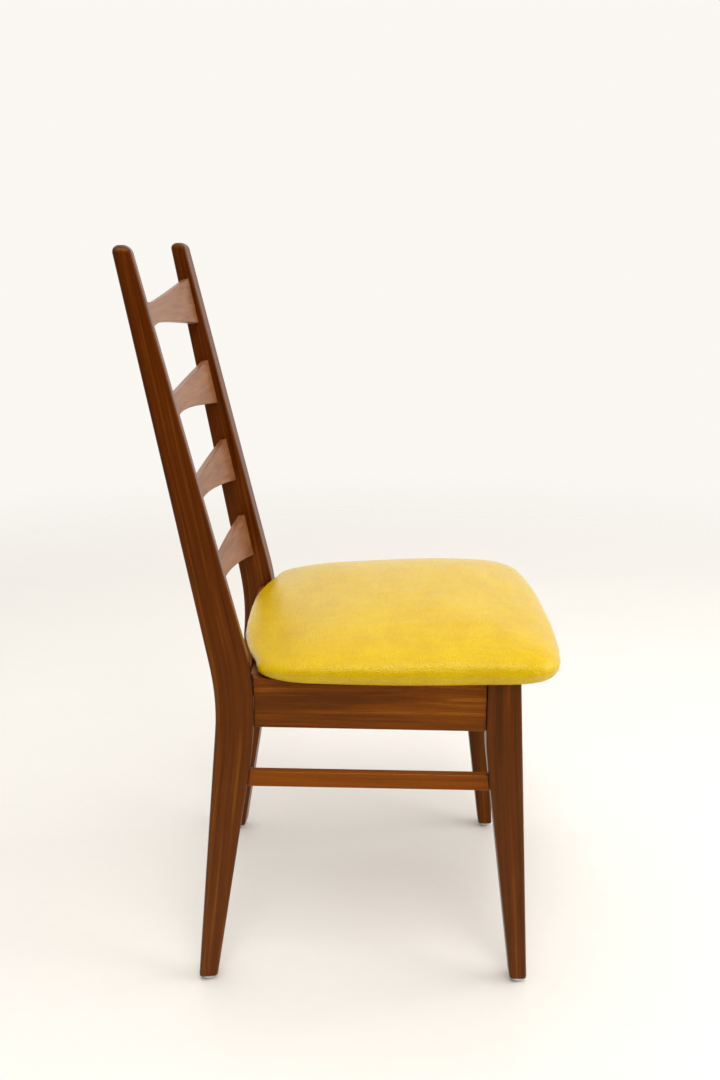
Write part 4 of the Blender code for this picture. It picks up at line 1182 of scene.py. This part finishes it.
def make_seat_pad(seat):
    """The stuffed pad: the CAD cover's form, puffed, settled and creased."""
    low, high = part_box("seat_cover")
    holder = placed("seat_pad", pad_solid("seat_pad", "seat_cover"))
    form = surface_of(holder.data)
    even = holder.modifiers.new("even", "REMESH")
    with_settings(even, mode="VOXEL", voxel_size=seat.voxel, use_smooth_shade=True)
    with_settings(holder.modifiers.new("rounding", "SMOOTH"), factor=0.5, iterations=6)
    points = points_of(applied(holder))
    points[:, 2] -= SHRINK * ramp(points[:, 2], low.z + HELD_DEPTH, points[:, 2].max())
    set_points(holder.data, points)
    points += stuff(holder, points, seat, low.z)
    for _ in range(FORM_ROUNDS):
        points += eased_over(holder.data, gaps_to(form, points), EASING_ROUNDS)
    points[:, 2] = np.maximum(points[:, 2], low.z)
    shaped = np.zeros_like(points)
    shaped[:, 1] = pulled_corners(points, low, high)
    shaped[:, 2] = settled(points, low, high) + rolled_rim(points, low, high)
    points += eased_over(holder.data, shaped, EASING_ROUNDS)
    points[:, 2] += gentle_creases(points, low.z, high.z)
    set_points(holder.data, points)
    with_settings(holder.modifiers.new("finer", "SUBSURF"), levels=1, render_levels=1)
    mesh = applied(holder)
    bpy.data.objects.remove(holder)
    set_points(mesh, tucked_in(points_of(mesh), low.z))
    mesh.shade_smooth()
    pad = piece("seat_pad", mesh, "leatherette", "leatherette", "seat_cover", "seat_foam")


def make_hem():
    """The skin's edge, folded flat under the board and a little ragged."""
    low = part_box("seat_cover")[0].z
    rings = []
    for inner, outer in zip(*under_edge()):
        inward = (inner - outer) / np.linalg.norm(inner - outer)
        edge = inner + inward * HEM_RAGGED * noise.noise(Vector((inner[0] * 60, inner[1] * 60, 1.0)))
        outer = outer + inward * HEM_SETBACK
        rings.append([(*(outer + (edge - outer) * share), low + height) for share, height in HEM_SECTION])
    mesh = skin_rings("seat_hem", rings, closed=True)
    mesh.shade_smooth()
    piece("seat_hem", mesh, "leatherette", "leatherette")


def make_staples(seat):
    """Staples round the hem, nearer its inner edge."""
    inner, outer = under_edge()
    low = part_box("seat_cover")[0].z
    line = inner + (outer - inner) * STAPLE_LINE
    count = len(line)
    path = bpy.data.meshes.new("hem_path")
    path.from_pydata([(x, y, low) for x, y in line], [(i, (i + 1) % count) for i in range(count)], [])
    staple = staple_mesh("staple", STAPLE_WIDTH, STAPLE_WIRE, STAPLE_LEG)
    values = {"Pitch": seat.staple_pitch, "Turn Spread": 0.12, "Seed": 4}
    tree = hem_tree("staples_along_hem", material("zinc"))
    piece("seat_staples", repeated("seat_staples", tree, staple, values, path), "zinc", "screw_steel")


# ---------------- stage


def make_floor():
    work = bmesh.new()
    bmesh.ops.create_circle(work, cap_ends=True, segments=96, radius=14)
    mesh = mesh_from(work, "floor")
    mesh.materials.append(material("floor"))
    placed("floor", mesh)


def soft_lamp(name, place, target, size, power, tone):
    """A rectangular lamp at a place, turned to a target."""
    lamp = bpy.data.lights.new(name, "AREA")
    with_settings(lamp, shape="RECTANGLE", size=size[0], size_y=size[1], energy=power, color=tone)
    turn = (Vector(target) - Vector(place)).to_track_quat("-Z", "Y")
    with_settings(placed(name, lamp), location=place, rotation_euler=turn.to_euler())


def make_light(stage):
    """A pale room, darker behind the viewer and overhead, with three soft lamps."""
    world = bpy.data.worlds.new("room")
    bpy.context.scene.world = world
    world.use_nodes = True
    graph = Graph(world.node_tree)
    x, _, z = graph.split(graph.node("ShaderNodeTexCoord", output="Generated"))
    level = graph.mix(x.between(-0.9, 0.35), stage.behind, stage.backdrop)
    sky = world.node_tree.nodes["Background"]
    graph.feed(sky.inputs["Color"], graph.mix(z.between(0.25, 0.80), level, stage.overhead))
    graph.feed(sky.inputs["Strength"], stage.backdrop_strength)
    soft_lamp("window", (-0.3, -3.0, 1.9), (0, 0, 0.5), (2.4, 2.0), stage.window, (1.0, 0.97, 0.93))
    soft_lamp("key", (-1.7, -0.2, 3.1), (0, 0, 0.45), (1.4, 1.8), stage.key, (1.0, 0.97, 0.92))
    soft_lamp("ceiling", (0.4, 0.2, 3.0), (0, 0, 0.4), (2.8, 2.8), stage.ceiling, (1.0, 0.98, 0.95))
    bpy.context.scene.view_settings.view_transform = "Standard"


def make_camera(stage):
    camera = placed("camera", bpy.data.cameras.new("camera"))
    camera.location = (-stage.eye_distance, -stage.eye_forward, stage.eye_height)
    camera.rotation_euler = (QUARTER - stage.eye_pitch, 0, -QUARTER)
    with_settings(camera.data, sensor_width=36, lens=stage.lens, clip_start=0.01, clip_end=100)
    bpy.context.scene.camera = camera


# ---------------- operators


class CHAIR_OT_uprights(bpy.types.Operator):
    """Make the rear posts and the front legs"""

    bl_idname = "chair.uprights"
    bl_label = "Posts and Legs"

    def execute(self, context):
        wood = context.scene.chair_timber
        for i, side in enumerate(SIDES):
            make_upright(f"rear_post_{side}", wood.crown_radius, wood, 1.3 + i)
            make_upright(f"front_leg_{side}", wood.leg_top, wood, 5.1 + i)
        return {"FINISHED"}


class CHAIR_OT_rails(bpy.types.Operator):
    """Make the seat rails and the stretchers"""

    bl_idname = "chair.rails"
    bl_label = "Rails and Stretchers"

    def execute(self, context):
        nodes = ["front_rail", "rear_rail"]
        nodes += [f"side_rail_{side}" for side in SIDES]
        nodes += [f"side_stretcher_{side}" for side in SIDES]
        for i, node in enumerate(nodes):
            finish = "stretcher_teak" if "stretcher" in node else "rail_teak"
            make_bar(node, finish, context.scene.chair_timber, 2.7 + i * 0.83)
        return {"FINISHED"}


class CHAIR_OT_slats(bpy.types.Operator):
    """Make the bowed back slats"""

    bl_idname = "chair.slats"
    bl_label = "Back Slats"

    def execute(self, context):
        for i in range(1, 5):
            make_slat(f"back_slat_{i}", context.scene.chair_timber, 3.3 + i * 0.61)
        return {"FINISHED"}


class CHAIR_OT_joinery(bpy.types.Operator):
    """Finish the blocks, the dowels and the seat board"""

    bl_idname = "chair.joinery"
    bl_label = "Blocks and Dowels"

    def execute(self, context):
        finish_of = {"corner_block": "beech", "dowel": "beech", "seat_board": "plywood"}
        for name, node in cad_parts.items():
            for start, finish in finish_of.items():
                if name.startswith(start):
                    for place in node.material_slots:
                        place.material = material(finish)
        return {"FINISHED"}


class CHAIR_OT_screws(bpy.types.Operator):
    """Make the screws through the corner blocks"""

    bl_idname = "chair.screws"
    bl_label = "Screws"

    def execute(self, context):
        nodes = sorted(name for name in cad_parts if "_screw_" in name)
        places, aims, lengths, radii = zip(*(long_axis(node) for node in nodes))
        head = screw_head_mesh("screw", radii[0], SCREW_HEAD, radii[0] * 0.5, min(lengths))
        mesh = set_on_marks("block_screws", head, "zinc", places, aims, SCREW_TURN)
        piece("block_screws", mesh, "zinc", "screw_steel", *nodes)
        return {"FINISHED"}


class CHAIR_OT_glides(bpy.types.Operator):
    """Make the glides under the feet"""

    bl_idname = "chair.glides"
    bl_label = "Glides"

    def execute(self, context):
        nodes = [f"glide_{end}_{side}" for end in ENDS for side in SIDES]
        boxes = [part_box(node) for node in nodes]
        places = [((low.x + high.x) / 2, (low.y + high.y) / 2, 0) for low, high in boxes]
        radius = (boxes[0][1].x - boxes[0][0].x) / 2
        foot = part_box("front_leg_right")[0].z
        cup, pad = glide_profiles(radius, foot - GLIDE_GAP)
        aims = [UP] * len(places)
        cups = set_on_marks("glide_cups", turned_mesh("cup", cup, GLIDE_SIDES), "nickel", places, aims)
        pads = set_on_marks("glide_pads", turned_mesh("pad", pad, GLIDE_SIDES), "pad", places, aims)
        piece("glide_cups", cups, "nickel", "glide_steel", *nodes)
        piece("glide_pads", pads, "pad", "glide_steel")
        return {"FINISHED"}


class CHAIR_OT_seat(bpy.types.Operator):
    """Stuff and cover the seat pad"""

    bl_idname = "chair.seat"
    bl_label = "Seat Pad"

    def execute(self, context):
        seat = context.scene.chair_seat
        make_seat_pad(seat)
        make_hem()
        make_staples(seat)
        return {"FINISHED"}


class CHAIR_OT_stage(bpy.types.Operator):
    """Make the floor, the light and the camera"""

    bl_idname = "chair.stage"
    bl_label = "Stage"

    def execute(self, context):
        make_floor()
        make_light(context.scene.chair_stage)
        make_camera(context.scene.chair_stage)
        return {"FINISHED"}


# ---------------- panel and run

OPERATORS = (
    CHAIR_OT_uprights,
    CHAIR_OT_rails,
    CHAIR_OT_slats,
    CHAIR_OT_joinery,
    CHAIR_OT_screws,
    CHAIR_OT_glides,
    CHAIR_OT_seat,
    CHAIR_OT_stage,
)

SETTINGS = {
    "chair_timber": TimberSettings,
    "chair_seat": SeatSettings,
    "chair_stage": StageSettings,
}


class CHAIR_PT_panel(bpy.types.Panel):
    """Sizes, colours and makers of the chair's pieces"""

    bl_idname = "CHAIR_PT_panel"
    bl_label = "Dining Chair"
    bl_space_type = "VIEW_3D"
    bl_region_type = "UI"
    bl_category = "Chair"

    def draw(self, context):
        for name, settings in SETTINGS.items():
            box = self.layout.box()
            for prop in settings.__annotations__:
                box.prop(getattr(context.scene, name), prop)
        for operator in OPERATORS:
            self.layout.operator(operator.bl_idname)


CLASSES = (*SETTINGS.values(), *OPERATORS, CHAIR_PT_panel)


def register():
    for cls in CLASSES:
        bpy.utils.register_class(cls)
    for name, group in SETTINGS.items():
        setattr(bpy.types.Scene, name, PointerProperty(type=group))


def unregister():
    for name in SETTINGS:
        delattr(bpy.types.Scene, name)
    for cls in reversed(CLASSES):
        bpy.utils.unregister_class(cls)


def main():
    register()
    for operator in OPERATORS:
        family, action = operator.bl_idname.split(".")
        getattr(getattr(bpy.ops, family), action)()


if __name__ == "__main__":
    main()
